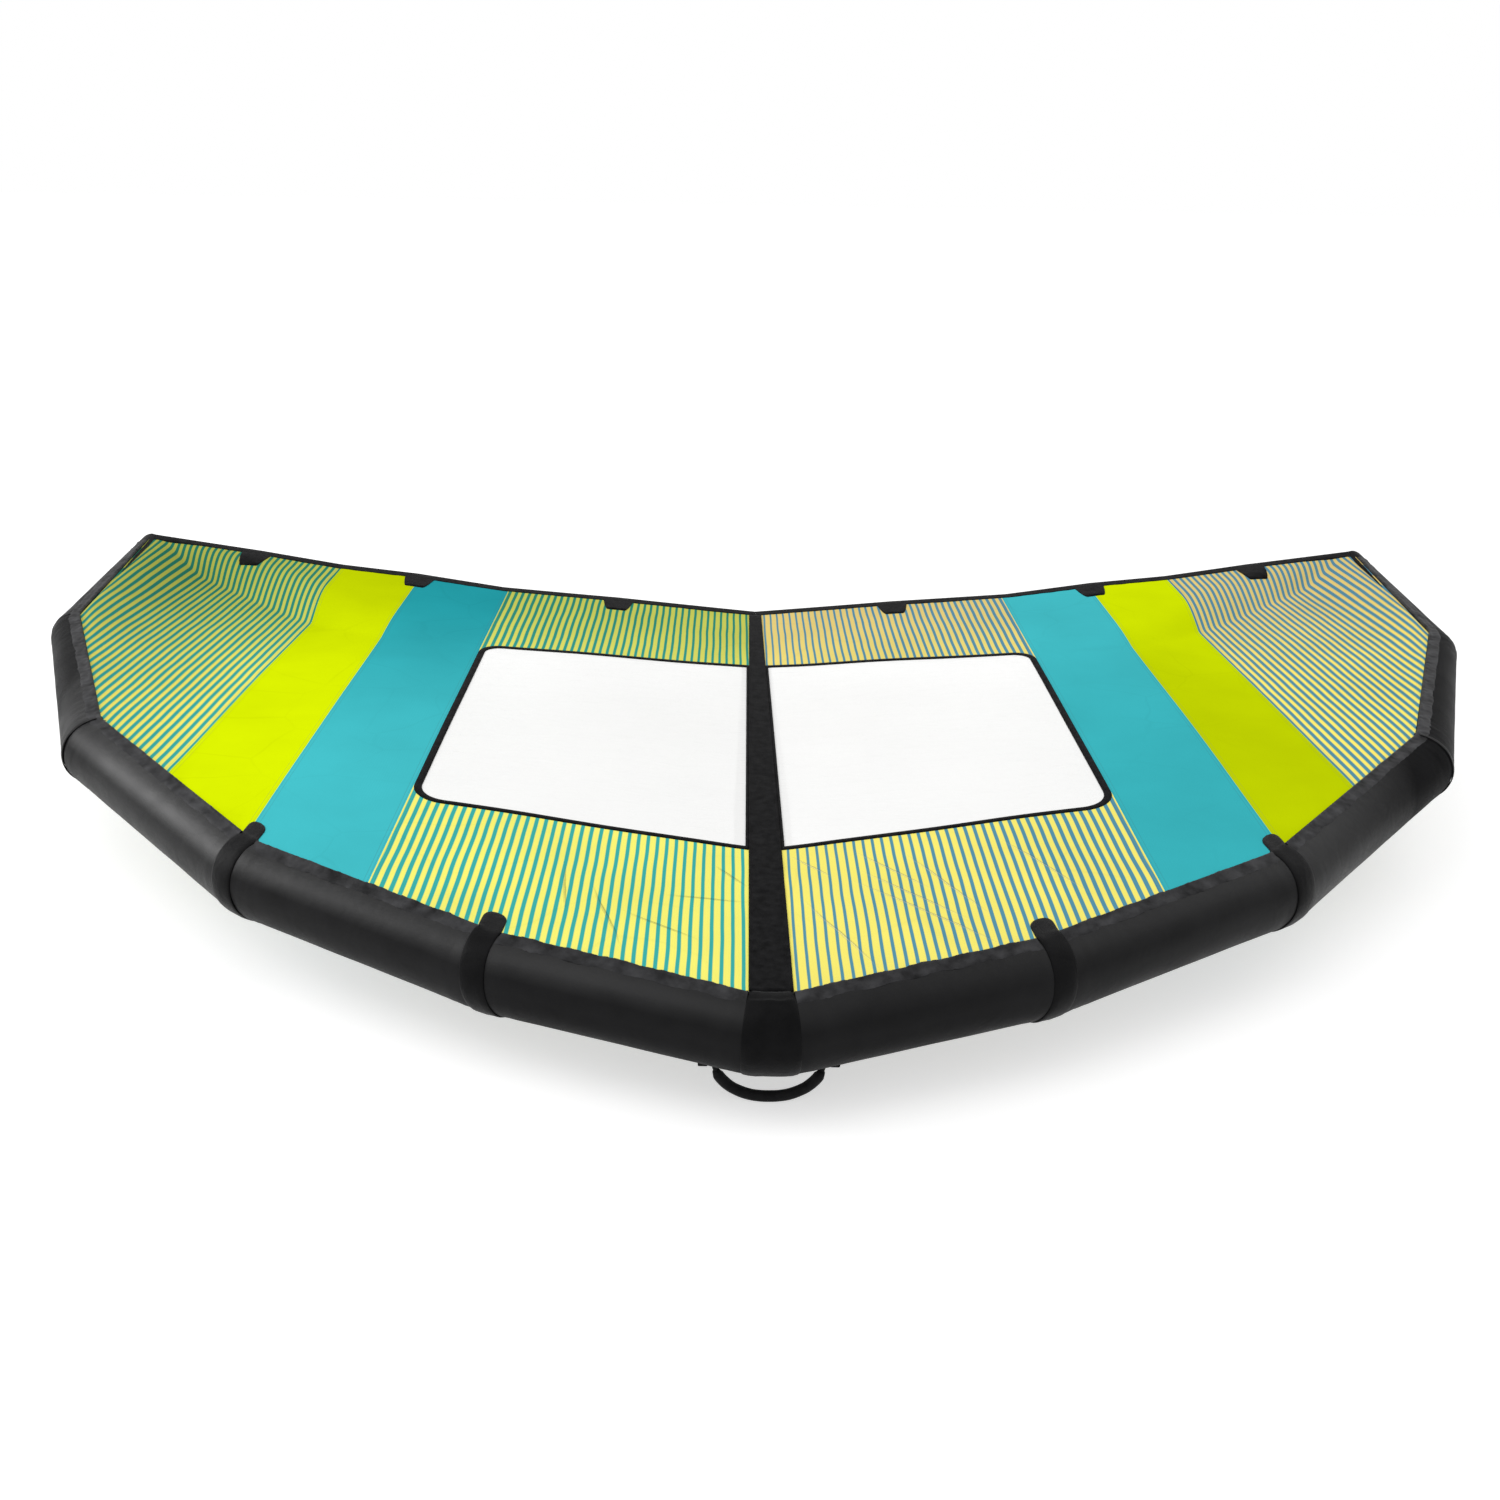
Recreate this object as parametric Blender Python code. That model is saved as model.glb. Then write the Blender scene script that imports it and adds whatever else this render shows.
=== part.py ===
"""Wingfoil wing: inflatable leading edge tube and strut, panelled canopy, handles and valves.

The frame: metres, +Z up, the leading edge towards -Y, X across the span. The zero point is the middle
of the seam that joins the canopy to the leading edge.
"""
import math

import bmesh
import bpy
import numpy as np
from mathutils import Matrix

# Leading edge tube: its axis runs through six stations a side, the first beside the strut
HALF_SPAN = 1.646
CHORD = 1.978
TIP_SWEEP_SHARE = 1.0485
TIP_RISE = 0.1726
LE_DIAMETER = 0.142
STATION_X_SHARES = (0.0180, 0.2635, 0.5401, 0.8091, 0.9698, 1.0)
STATION_Y_SHARES = (0.0, 0.0689, 0.1953, 0.4150, 0.6856, 1.0)
STATION_TOP_SHARES = (0.0, 0.1216, 0.3011, 0.5625, 0.8208, 1.0)
RADIUS_SHARES = (0.915, 0.965, 1.0, 0.972, 0.74, 0.38)
SEAM_ANGLES = (0.0, 0.0, 0.0, 10.0, 18.0, 19.0)
TUBE_SIDES = 32
TIP_CAP_LENGTH = 0.028
TIP_CAP_SHARES = (0.6, 0.72)

# Cloth and film
GAP = 0.0003
MERGE = 0.00001
TUBE_WALL = 0.0010
BLADDER_WALL = 0.0005
CANOPY_SHEET = 0.0006
FRAME_TAPE = 0.0009
HEM_TAPE = 0.0012
STRIP_SHEET = 0.0009
SEAM_LIFT = 0.0018
BLADDER_END_SHARE = 0.9

# Canopy outline: the trailing edge is a line of points, given as shares of half span and of chord
EDGE_X_SHARES = (0.0, 0.2236, 0.4101, 0.5529, 0.6762, 0.8153, 0.9945)
EDGE_Y_SHARES = (1.0, 1.0015, 0.9919, 1.0111, 1.0126, 1.0329, 1.048)
EDGE_LIFT = 0.002
EDGE_RISE_SHARE = 0.9774
EDGE_STRAIGHT_SHARE = 0.8636
CAMBER_SHARE = 0.004
CAMBER_PEAK_SHARE = 0.30
CAMBER_RAMP_SHARE = 0.30
TEAL_SHARE = 0.4010
LIME_SHARE = 0.5468
TIP_PANEL_SHARE = 0.6744
TIP_END_SHARE = 0.9915
COLUMN_STEP = 0.125

# Fold that the slack tip panel falls into: a valley from the lime band out to the rear tip corner
FOLD_DEPTH = 0.048
FOLD_START_SHARE = 0.565
FOLD_FULL_SHARE = 0.820
FOLD_OUTER_SHARES = (0.825, 0.985)
FOLD_Y_SHARES = (0.3908, 0.6574)
FOLD_BACK = 0.16
FOLD_CURVE = 1.5

# Black strip over the strut
STRIP_FRONT_HALF = 0.034
STRIP_REAR_HALF = 0.016

# Window: its two slanting edges at the strip and at the outer side
WINDOW_FRONT_SHARES = (0.2435, 0.3020)
WINDOW_REAR_SHARES = (0.7690, 0.7493)
WINDOW_CORNER = 0.055
WINDOW_FRAME = 0.015

# Trailing edge tape and its batten patches
HEM_DEPTH = 0.034
PATCH_X_SHARES = (0.2236, 0.5468, 0.8165)
PATCH_LENGTH = 0.125
PATCH_WIDE = 0.060
PATCH_NARROW = 0.036
PATCH_CLEARANCE = 0.012
TAIL_PARTS = 2
TAIL_START_SHARE = 0.3

# Collars round the tube
COLLAR_SHEET = 0.0015
COLLAR_HALF_WIDTHS = (0.022, 0.025)
OUTER_BAND_HALF_WIDTH = 0.005
CUFF_MARGIN = 0.006
TAB_LENGTH = 0.043
TAB_HALF_WIDTH = 0.021
TAB_SHARES = ((0.05, 1.0), (0.5, 1.0), (0.78, 0.86), (0.94, 0.56), (1.0, 0.24))
TAB_CLEARANCE = 0.0006

# Piping in front of the canopy seam
PIPING_RADIUS = 0.003
PIPING_AHEAD = 0.0048
PIPING_SIDES = 6

# Strut
STRUT_DIAMETER = 0.110
STRUT_END_DIAMETER = 0.060
STRUT_END_Y = 1.86
STRUT_TAPER_Y = 0.80
STRUT_START_Y = 0.12
STRUT_CLEARANCE = 0.0015
STRUT_CAP_LENGTH = 0.035
STRUT_SIDES = 24
SADDLE_MARGIN = 0.0018

# Handles, one under the leading edge and two under the strut
ROPE_RADIUS = 0.004
LE_HANDLE_HALF = 0.094
LE_HANDLE_DROP = 0.0625
LE_HANDLE_COLUMN = 16
LE_SLEEVE_RADIUS = 0.0090
STRUT_HANDLE_HALF = 0.190
STRUT_HANDLE_DROP = 0.060
STRUT_HANDLE_YS = (0.60, 1.26)
STRUT_SLEEVE_RADIUS = 0.0130
HANDLE_SHARES = ((-1.0, 0.0), (-0.93, 0.0), (-0.86, 0.30), (-0.76, 0.53), (-0.60, 0.75), (-0.33, 0.94),
                 (0.0, 1.0), (0.33, 0.94), (0.60, 0.75), (0.76, 0.53), (0.86, 0.30), (0.93, 0.0), (1.0, 0.0))
SLEEVE_POINTS = (3, 9)
HINGE_HEIGHT = 0.0065
LUG_LENGTH = 0.016
LUG_WIDTH = 0.014
LUG_HEIGHT = 0.0115
LUG_SINK = 0.0006
ANCHOR_HALF = 0.024
ANCHOR_SHEET = 0.0018
BELLY_SHEET = 0.0020
BELLY_FRONT_Y = 0.15
BELLY_REAR_Y = 1.66
ROPE_ROUNDING = 2
SLEEVE_SIDES = 10

# Leash loop under the strut's front
LEASH_Y = 0.215
LEASH_HALF = 0.020
LEASH_FOOT = 0.018
LEASH_DROP = 0.042
LEASH_BOTTOM_HALF = 0.012
LEASH_HALF_WIDTH = 0.0125
LEASH_SHEET = 0.0030

# Valves
LE_VALVE_SHARE = 0.45
LE_VALVE_COLUMN = 12
STRUT_VALVE_Y = 0.30
STRUT_VALVE_COLUMN = 8
VALVE_HOLE_HALF = 0.015
FLANGE_RADIUS = 0.024
FLANGE_TOP = 0.003
RIM_RADIUS = 0.014
RIM_TOP = 0.008
NECK_RADIUS = 0.011
NECK_DEPTH = 0.014
BORE_RADIUS = 0.009
POPPET_RADIUS = 0.0115
POPPET_SHEET = 0.0025
STEM_RADIUS = 0.0025
BUTTON_RADIUS = 0.006
BUTTON_SHEET = 0.002
CAP_RADIUS = 0.016
CAP_SHEET = 0.003
TONGUE_HALF = 0.006
TONGUE_REACH = 0.023
LEG_SHEET = 0.004
LEG_FOOT = 0.004
VALVE_SIDES = 20

# Finishes: a word in the piece's name, its colour on a screen from 0 to 255, and its roughness; the
# first word found counts
FINISHES = (
    ("bladder", (216, 222, 214), 0.30),
    ("film", (246, 246, 246), 0.22),
    ("piping", (60, 60, 62), 0.60),
    ("rope", (20, 20, 21), 0.62),
    ("sleeve", (22, 22, 23), 0.70),
    ("belly", (20, 20, 21), 0.62),
    ("leash", (20, 20, 21), 0.62),
    ("anchor", (20, 20, 21), 0.62),
    ("lug", (20, 20, 21), 0.62),
    ("plunger", (176, 178, 180), 0.42),
    ("valve", (38, 38, 40), 0.38),
    ("collar", (16, 16, 17), 0.50),
    ("cuff", (16, 16, 17), 0.50),
    ("seam_band", (16, 16, 17), 0.50),
    ("le_", (22, 22, 24), 0.42),
    ("shell", (22, 22, 24), 0.42),
    ("frame", (16, 16, 17), 0.55),
    ("hem", (16, 16, 17), 0.55),
    ("teal", (62, 184, 193), 0.50),
    ("lime", (218, 240, 5), 0.50),
    ("left", (190, 220, 140), 0.50),
    ("right", (200, 202, 142), 0.50),
    ("strip", (16, 16, 17), 0.55),
)
SCREEN_WHITE = 255.0
SCREEN_OFFSET = 0.055
SCREEN_POWER = 2.4
SMOOTH_ANGLE = math.radians(40.0)

for startup in list(bpy.data.objects):
    bpy.data.objects.remove(startup)

UP = np.array((0.0, 0.0, 1.0))
ACROSS = np.array((1.0, 0.0, 0.0))
ALONG = np.array((0.0, 1.0, 0.0))


def unit(v):
    """The vector at length one."""
    return v / np.linalg.norm(v)


def flipped(points):
    """The points mirrored to the left side."""
    return [np.array((-p[0], p[1], p[2])) for p in points]


def to_side(rows, side):
    """The rows as they are for the right side, mirrored for the left side."""
    return rows if side > 0 else [flipped(row) for row in rows]


def finish(name):
    """The piece's own material."""
    colour, roughness = next((shade, rough) for word, shade, rough in FINISHES if word in name)
    linear = [((c / SCREEN_WHITE + SCREEN_OFFSET) / (1.0 + SCREEN_OFFSET)) ** SCREEN_POWER for c in colour]
    material = bpy.data.materials.new("%s_finish" % name)
    material.use_nodes = True
    shader = material.node_tree.nodes["Principled BSDF"]
    shader.inputs["Base Color"].default_value = linear + [1.0]
    shader.inputs["Roughness"].default_value = roughness
    shader.inputs["Metallic"].default_value = 0.0
    return material


def holder(name, place, frame=None):
    """An empty that pieces are placed by; a moving piece's holder lies on its joint's axis."""
    empty = bpy.data.objects.new(name, None)
    if frame is not None:
        axes = Matrix([tuple(float(c) for c in axis) for axis in frame])
        empty.rotation_euler = axes.transposed().to_euler()
    empty.location = [float(c) for c in place]
    bpy.context.scene.collection.objects.link(empty)
    return empty


WING = holder("wing", (0.0, 0.0, 0.0))


def add_body(name, points, faces, parent=None):
    """Make the object, its faces turned outwards, in its holder's place."""
    parent = parent or WING
    points = [p - np.array(parent.location) for p in points]
    corners = np.array(points)
    volume = sum(np.dot(corners[f[0]], np.cross(corners[f[i]], corners[f[i + 1]]))
                 for f in faces for i in range(1, len(f) - 1))
    if volume < 0.0:
        faces = [tuple(reversed(f)) for f in faces]
    mesh = bpy.data.meshes.new(name)
    mesh.from_pydata([tuple(float(c) for c in p) for p in points], [], faces)
    mesh.update()
    mesh.shade_smooth()
    mesh.set_sharp_from_angle(angle=SMOOTH_ANGLE)
    mesh.materials.append(finish(name))
    body = bpy.data.objects.new(name, mesh)
    body.parent = parent
    bpy.context.scene.collection.objects.link(body)
    return body


def skin(name, outer, inner, wrap=False, holes=(), start_pole=None, end_pole=None, parent=None):
    """A closed sheet between two grids of points; wrap joins the last column to the first."""
    rows = len(outer)
    cols = len(outer[0])
    points = [p for row in outer for p in row]
    faces = []
    for i in range(rows - 1):
        for j in range(cols if wrap else cols - 1):
            if (i, j) in holes:
                continue
            a = i * cols + j
            b = i * cols + (j + 1) % cols
            c = b + cols
            d = a + cols
            faces += [(a, b, c), (a, c, d)]
    last = (rows - 1) * cols
    if start_pole:
        pole = len(points)
        points.append(start_pole[0])
        faces += [((j + 1) % cols, j, pole) for j in range(cols)]
    if end_pole:
        pole = len(points)
        points.append(end_pole[0])
        faces += [(last + j, last + (j + 1) % cols, pole) for j in range(cols)]
    count = len(points)
    points += [p for row in inner for p in row]
    if start_pole:
        points.append(start_pole[1])
    if end_pole:
        points.append(end_pole[1])
    edges = {(f[i], f[(i + 1) % 3]) for f in faces for i in range(3)}
    walls = []
    for a, b in sorted(edges):
        if (b, a) not in edges:
            walls += [(b, a, a + count), (b, a + count, b + count)]
    back = [(f[0] + count, f[2] + count, f[1] + count) for f in faces]
    return add_body(name, points, faces + back + walls, parent)


def shaped(name, shape, parent):
    """The object of a finished bmesh, in its holder's place."""
    bmesh.ops.recalc_face_normals(shape, faces=shape.faces)
    mesh = bpy.data.meshes.new(name)
    shape.to_mesh(mesh)
    shape.free()
    mesh.shade_smooth()
    mesh.set_sharp_from_angle(angle=SMOOTH_ANGLE)
    mesh.materials.append(finish(name))
    body = bpy.data.objects.new(name, mesh)
    body.parent = parent
    bpy.context.scene.collection.objects.link(body)
    return body


def turned(name, profile, sides, parent, ring=False):
    """A profile of (radius, height) pairs spun round the holder's third axis; ring closes it on itself."""
    shape = bmesh.new()
    line = [shape.verts.new((radius, 0.0, height)) for radius, height in profile]
    edges = [shape.edges.new(pair) for pair in zip(line, line[1:])]
    if ring:
        edges.append(shape.edges.new((line[-1], line[0])))
    bmesh.ops.spin(shape, geom=line + edges, cent=(0.0, 0.0, 0.0), axis=(0.0, 0.0, 1.0), angle=2.0 * math.pi,
                   steps=sides, use_merge=True)
    bmesh.ops.remove_doubles(shape, verts=shape.verts, dist=MERGE)
    return shaped(name, shape, parent)


def prism(name, outline, low, high, parent):
    """An outline in the holder's first two directions, extruded from low to high along the third."""
    shape = bmesh.new()
    floor = shape.faces.new([shape.verts.new((u, v, low)) for u, v in outline])
    grown = bmesh.ops.extrude_face_region(shape, geom=[floor])
    top = [part for part in grown["geom"] if isinstance(part, bmesh.types.BMVert)]
    bmesh.ops.translate(shape, verts=top, vec=(0.0, 0.0, high - low))
    return shaped(name, shape, parent)


def union(body, other):
    """Grow the body by the other one, which stays as a hidden cutter."""
    change = body.modifiers.new("join", "BOOLEAN")
    change.operation = "UNION"
    change.solver = "EXACT"
    change.object = other
    other.hide_render = True
    other.display_type = "WIRE"


def path_rings(path, radius, sides, binormal):
    """Rings of points round a path that bends in one plane, each in its mitre plane."""
    rings = []
    for i, p in enumerate(path):
        before = unit(p - path[i - 1]) if i > 0 else None
        after = unit(path[i + 1] - p) if i + 1 < len(path) else before
        if before is None:
            before = after
        tangent = unit(before + after)
        side = np.cross(binormal, tangent) / np.dot(tangent, after)
        rings.append([p + binormal * math.cos(2.0 * math.pi * k / sides) * radius
                      + side * math.sin(2.0 * math.pi * k / sides) * radius for k in range(sides)])
    return rings


def rod(name, path, radius, parent):
    """A solid cord along a path: a curve with a round bevel and filled ends."""
    home = np.array(parent.location)
    curve = bpy.data.curves.new(name, "CURVE")
    curve.dimensions = "3D"
    curve.bevel_depth = radius
    curve.bevel_resolution = ROPE_ROUNDING
    curve.use_fill_caps = True
    line = curve.splines.new("POLY")
    line.points.add(len(path) - 1)
    for spot, p in zip(line.points, path):
        spot.co = tuple(float(c) for c in p - home) + (1.0,)
    curve.materials.append(finish(name))
    body = bpy.data.objects.new(name, curve)
    body.parent = parent
    bpy.context.scene.collection.objects.link(body)
    return body


# Stations of the tube on the right side
RADII = [0.5 * LE_DIAMETER * share for share in RADIUS_SHARES]
AXIS = [np.array((HALF_SPAN * sx, CHORD * TIP_SWEEP_SHARE * sy, TIP_RISE * top - radius - SEAM_LIFT))
        for sx, sy, top, radius in zip(STATION_X_SHARES, STATION_Y_SHARES, STATION_TOP_SHARES, RADII)]
LAST = len(AXIS) - 1
LEGS = [unit(AXIS[i + 1] - AXIS[i]) for i in range(LAST)]
LENGTHS = [np.linalg.norm(AXIS[i + 1] - AXIS[i]) for i in range(LAST)]
TANGENTS = [unit(ACROSS + LEGS[0])] + [unit(LEGS[i - 1] + LEGS[i]) for i in range(1, LAST)] + [LEGS[-1]]
OVERS = [unit(UP - t * np.dot(UP, t)) for t in TANGENTS]
INWARDS = [np.cross(over, t) for over, t in zip(OVERS, TANGENTS)]
STRETCH = [1.0 / np.dot(TANGENTS[i], LEGS[min(i, LAST - 1)]) for i in range(LAST + 1)]


def station_point(i, column, lift):
    """A point round the tube at a station; column counts from the top towards the rear."""
    turn = 2.0 * math.pi * column / TUBE_SIDES
    reach = RADII[i] + lift
    return AXIS[i] + reach * (OVERS[i] * math.cos(turn) + INWARDS[i] * math.sin(turn) * STRETCH[i])


def tube_point(i, f, column, lift, column_after=None):
    """A point a share f of the way from station i to the next."""
    start = station_point(i, column, lift)
    if f == 0.0:
        return start
    return start + (station_point(i + 1, column if column_after is None else column_after, lift) - start) * f


def tube_ring(i, f, lift):
    """All the points round the tube a share f of the way from station i to the next."""
    return [tube_point(i, f, k, lift) for k in range(TUBE_SIDES)]


def seam_column(i):
    """Where the canopy seam lies round the tube at a station, in columns."""
    return SEAM_ANGLES[i] * TUBE_SIDES / 360.0


SEAM = [station_point(i, seam_column(i), SEAM_LIFT) for i in range(LAST + 1)]
SEAM_X = [0.0] + [p[0] for p in SEAM]
SEAM_Y = [SEAM[0][1]] + [p[1] for p in SEAM]
SEAM_Z = [SEAM[0][2]] + [p[2] for p in SEAM]
EDGE_X = [HALF_SPAN * s for s in EDGE_X_SHARES]
EDGE_Y = [CHORD * s for s in EDGE_Y_SHARES]
TEAL_X = HALF_SPAN * TEAL_SHARE
LIME_X = HALF_SPAN * LIME_SHARE
TIP_PANEL_X = HALF_SPAN * TIP_PANEL_SHARE
TIP_END_X = HALF_SPAN * TIP_END_SHARE
PATCH_X = [HALF_SPAN * s for s in PATCH_X_SHARES]


def front_y(x):
    """The canopy's front edge."""
    return float(np.interp(x, SEAM_X, SEAM_Y))


def rear_y(x):
    """The canopy's trailing edge."""
    return float(np.interp(x, EDGE_X, EDGE_Y))


def eased(t):
    """From zero to one with soft ends."""
    t = min(max(t, 0.0), 1.0)
    return t * t * (3.0 - 2.0 * t)


def fold_drop(x, y):
    """How far the slack tip panel falls into its fold."""
    start, full = FOLD_START_SHARE * HALF_SPAN, FOLD_FULL_SHARE * HALF_SPAN
    outer_full, outer_end = (share * HALF_SPAN for share in FOLD_OUTER_SHARES)
    depth = FOLD_DEPTH * eased((x - start) / (full - start)) * eased((outer_end - x) / (outer_end - outer_full))
    if depth == 0.0:
        return 0.0
    fold_y = CHORD * (FOLD_Y_SHARES[0] + FOLD_Y_SHARES[1] * x / HALF_SPAN)
    if y < fold_y:
        return depth * min(max((y - front_y(x)) / max(fold_y - front_y(x), GAP), 0.0), 1.0) ** FOLD_CURVE
    return depth * (1.0 - eased((y - fold_y) / max(min(FOLD_BACK, 0.8 * (rear_y(x) - fold_y)), GAP)))


def canopy_z(x, y):
    """Height of the canopy's upper face."""
    start = front_y(x)
    chord = max(rear_y(x) - start, GAP)
    t = min(max((y - start) / chord, 0.0), 1.0)
    z_front = float(np.interp(x, SEAM_X, SEAM_Z))
    out = x / HALF_SPAN
    z_rear = EDGE_LIFT + TIP_RISE * EDGE_RISE_SHARE * out * (EDGE_STRAIGHT_SHARE + (1.0 - EDGE_STRAIGHT_SHARE) * out)
    ramp = eased((x - STRIP_REAR_HALF) / (CAMBER_RAMP_SHARE * HALF_SPAN))
    reach = CAMBER_PEAK_SHARE if t < CAMBER_PEAK_SHARE else 1.0 - CAMBER_PEAK_SHARE
    bulge = 1.0 - ((t - CAMBER_PEAK_SHARE) / reach) ** 2
    return z_front + (z_rear - z_front) * t + CAMBER_SHARE * chord * ramp * bulge - fold_drop(x, y)


def strip_half(y):
    """Half the width of the strip over the strut."""
    return STRIP_FRONT_HALF + (STRIP_REAR_HALF - STRIP_FRONT_HALF) * y / CHORD


def hem_y(x):
    """Front edge of the trailing edge tape with its patches."""
    depth = HEM_DEPTH
    for centre in PATCH_X:
        away = abs(x - centre)
        if away < 0.5 * PATCH_WIDE:
            rise = min((0.5 * PATCH_WIDE - away) / (0.5 * (PATCH_WIDE - PATCH_NARROW)), 1.0)
            depth = HEM_DEPTH + (PATCH_LENGTH - HEM_DEPTH) * rise
    return rear_y(x) - depth


HEM_MARKS = EDGE_X[1:-1] + [c + sign * 0.5 * w for c in PATCH_X for w in (PATCH_WIDE, PATCH_NARROW)
                            for sign in (-1.0, 1.0)]


def columns(low, high, marks):
    """Grid lines from low to high, with one on every mark between them."""
    stops = sorted([low, high] + [m for m in marks if low + GAP < m < high - GAP])
    lines = [low]
    for a, b in zip(stops, stops[1:]):
        parts = max(1, math.ceil((b - a) / COLUMN_STEP))
        lines += [a + (b - a) * (n + 1) / parts for n in range(parts)]
    return lines


def cloth(name, side, lines, front, rear, parts, sheet, inset=None, tail=False):
    """A canopy piece between two edges; with an inset its first line follows the strip's edge.

    With a tail its last rows lie behind an even line that passes in front of the patches.
    """
    def row_y(x, n):
        """Where along Y a row crosses a line."""
        start, end = front(x), rear(x)
        if not tail:
            return start + (end - start) * n / parts
        near = max(rear_y(x) - PATCH_LENGTH - PATCH_CLEARANCE, start + (end - start) * TAIL_START_SHARE)
        ahead = parts - TAIL_PARTS
        if n <= ahead:
            return start + (near - start) * n / ahead
        return near + (end - near) * (n - ahead) / TAIL_PARTS

    top = []
    for n in range(parts + 1):
        row = []
        for j, x in enumerate(lines):
            y = row_y(x, n)
            if j == 0 and inset is not None:
                x = strip_half(y) + inset
                y = row_y(x, n)
            row.append(np.array((x, y, canopy_z(x, y))))
        top.append(row)
    low = [[p - UP * sheet for p in row] for row in top]
    skin(name, to_side(top, side), to_side(low, side))


def window_y(x, rear, inset):
    """Front or rear edge of the window, with its round outer corner, moved inwards by the inset."""
    inner, outer = WINDOW_REAR_SHARES if rear else WINDOW_FRONT_SHARES
    slope = CHORD * (outer - inner) / TEAL_X
    sign = -1.0 if rear else 1.0
    stretch = math.hypot(1.0, slope)
    centre_x = TEAL_X - WINDOW_CORNER
    centre_y = CHORD * inner + slope * centre_x + sign * WINDOW_CORNER * stretch
    radius = WINDOW_CORNER - inset
    touch = centre_x + sign * radius * slope / stretch
    if x <= touch:
        return CHORD * inner + slope * x + sign * inset * stretch
    away = min(x - centre_x, radius)
    return centre_y - sign * math.sqrt(radius * radius - away * away)


SIDES = (("left", -1.0), ("right", 1.0))
ARC_PARTS = 5


def corner_marks(rear):
    """Where along X the points of the window's round corner lie."""
    inner, outer = WINDOW_REAR_SHARES if rear else WINDOW_FRONT_SHARES
    sign = -1.0 if rear else 1.0
    start = math.atan2(-sign, sign * CHORD * (outer - inner) / TEAL_X)
    return [TEAL_X - WINDOW_CORNER * (1.0 - math.cos(start * (1.0 - n / ARC_PARTS))) for n in range(ARC_PARTS)]


# Leading edge shells
centre_rows = []
for lift in (0.0, -TUBE_WALL):
    right = tube_ring(0, 0.0, lift)
    left = flipped(right)
    ease = GAP / (2.0 * AXIS[0][0])
    centre_rows.append([[a + (b - a) * ease for a, b in zip(left, right)],
                        [b + (a - b) * ease for a, b in zip(left, right)]])
skin("le_centre", centre_rows[0], centre_rows[1], wrap=True)

VALVE_EASE = VALVE_HOLE_HALF / LENGTHS[0]
VALVE_STOPS = [LE_VALVE_SHARE - VALVE_EASE, LE_VALVE_SHARE + VALVE_EASE]
for side_name, side in SIDES:
    for i in range(LAST - 1):
        ease = 0.5 * GAP / LENGTHS[i]
        stops = [ease, 1.0 - ease]
        holes = ()
        if i == 0 and side > 0.0:
            stops = [ease] + VALVE_STOPS + [1.0 - ease]
            holes = ((1, LE_VALVE_COLUMN - 1), (1, LE_VALVE_COLUMN))
        outer = to_side([tube_ring(i, f, 0.0) for f in stops], side)
        inner = to_side([tube_ring(i, f, -TUBE_WALL) for f in stops], side)
        skin("le_segment_%d_%s" % (i + 1, side_name), outer, inner, wrap=True, holes=holes)
    ease = 0.5 * GAP / LENGTHS[-1]
    grids = []
    poles = []
    for lift in (0.0, -TUBE_WALL):
        rows = [tube_ring(LAST - 1, ease, lift), tube_ring(LAST - 1, 1.0, lift)]
        middle = AXIS[LAST] + LEGS[-1] * TIP_CAP_LENGTH * TIP_CAP_SHARES[0]
        rows.append([middle + (p - AXIS[LAST]) * TIP_CAP_SHARES[1] for p in rows[1]])
        grids.append(to_side(rows, side))
        poles.append(to_side([[AXIS[LAST] + LEGS[-1] * (TIP_CAP_LENGTH + lift)]], side)[0][0])
    skin("le_tip_%s" % side_name, grids[0], grids[1], wrap=True, end_pole=poles)

# Leading edge bladder, one closed tube from tip to tip, open only at the valve
grids = []
poles = []
for lift in (-TUBE_WALL - GAP, -TUBE_WALL - GAP - BLADDER_WALL):
    stops = [(0, 0.0), (1, 0.0), (2, 0.0), (3, 0.0), (4, 0.0), (4, BLADDER_END_SHARE)]
    left = [flipped(tube_ring(i, f, lift)) for i, f in reversed(stops)]
    right_stops = stops[:1] + [(0, f) for f in VALVE_STOPS] + stops[1:]
    right = [tube_ring(i, f, lift) for i, f in right_stops]
    grids.append(left + right)
    end = AXIS[LAST - 1] + (AXIS[LAST] - AXIS[LAST - 1]) * BLADDER_END_SHARE
    pole = end + LEGS[-1] * (0.5 * TIP_CAP_LENGTH + lift)
    poles.append((flipped([pole])[0], pole))
valve_row = len(stops) + 1
skin("le_bladder", grids[0], grids[1], wrap=True, start_pole=(poles[0][0], poles[1][0]),
     end_pole=(poles[0][1], poles[1][1]),
     holes=((valve_row, LE_VALVE_COLUMN - 1), (valve_row, LE_VALVE_COLUMN)))

# Collars: open bands round the tube, the two inner ones with a tab lapped onto the canopy
BAND_END = TUBE_SIDES - 3
LAP = SEAM_LIFT + TAB_CLEARANCE


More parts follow.
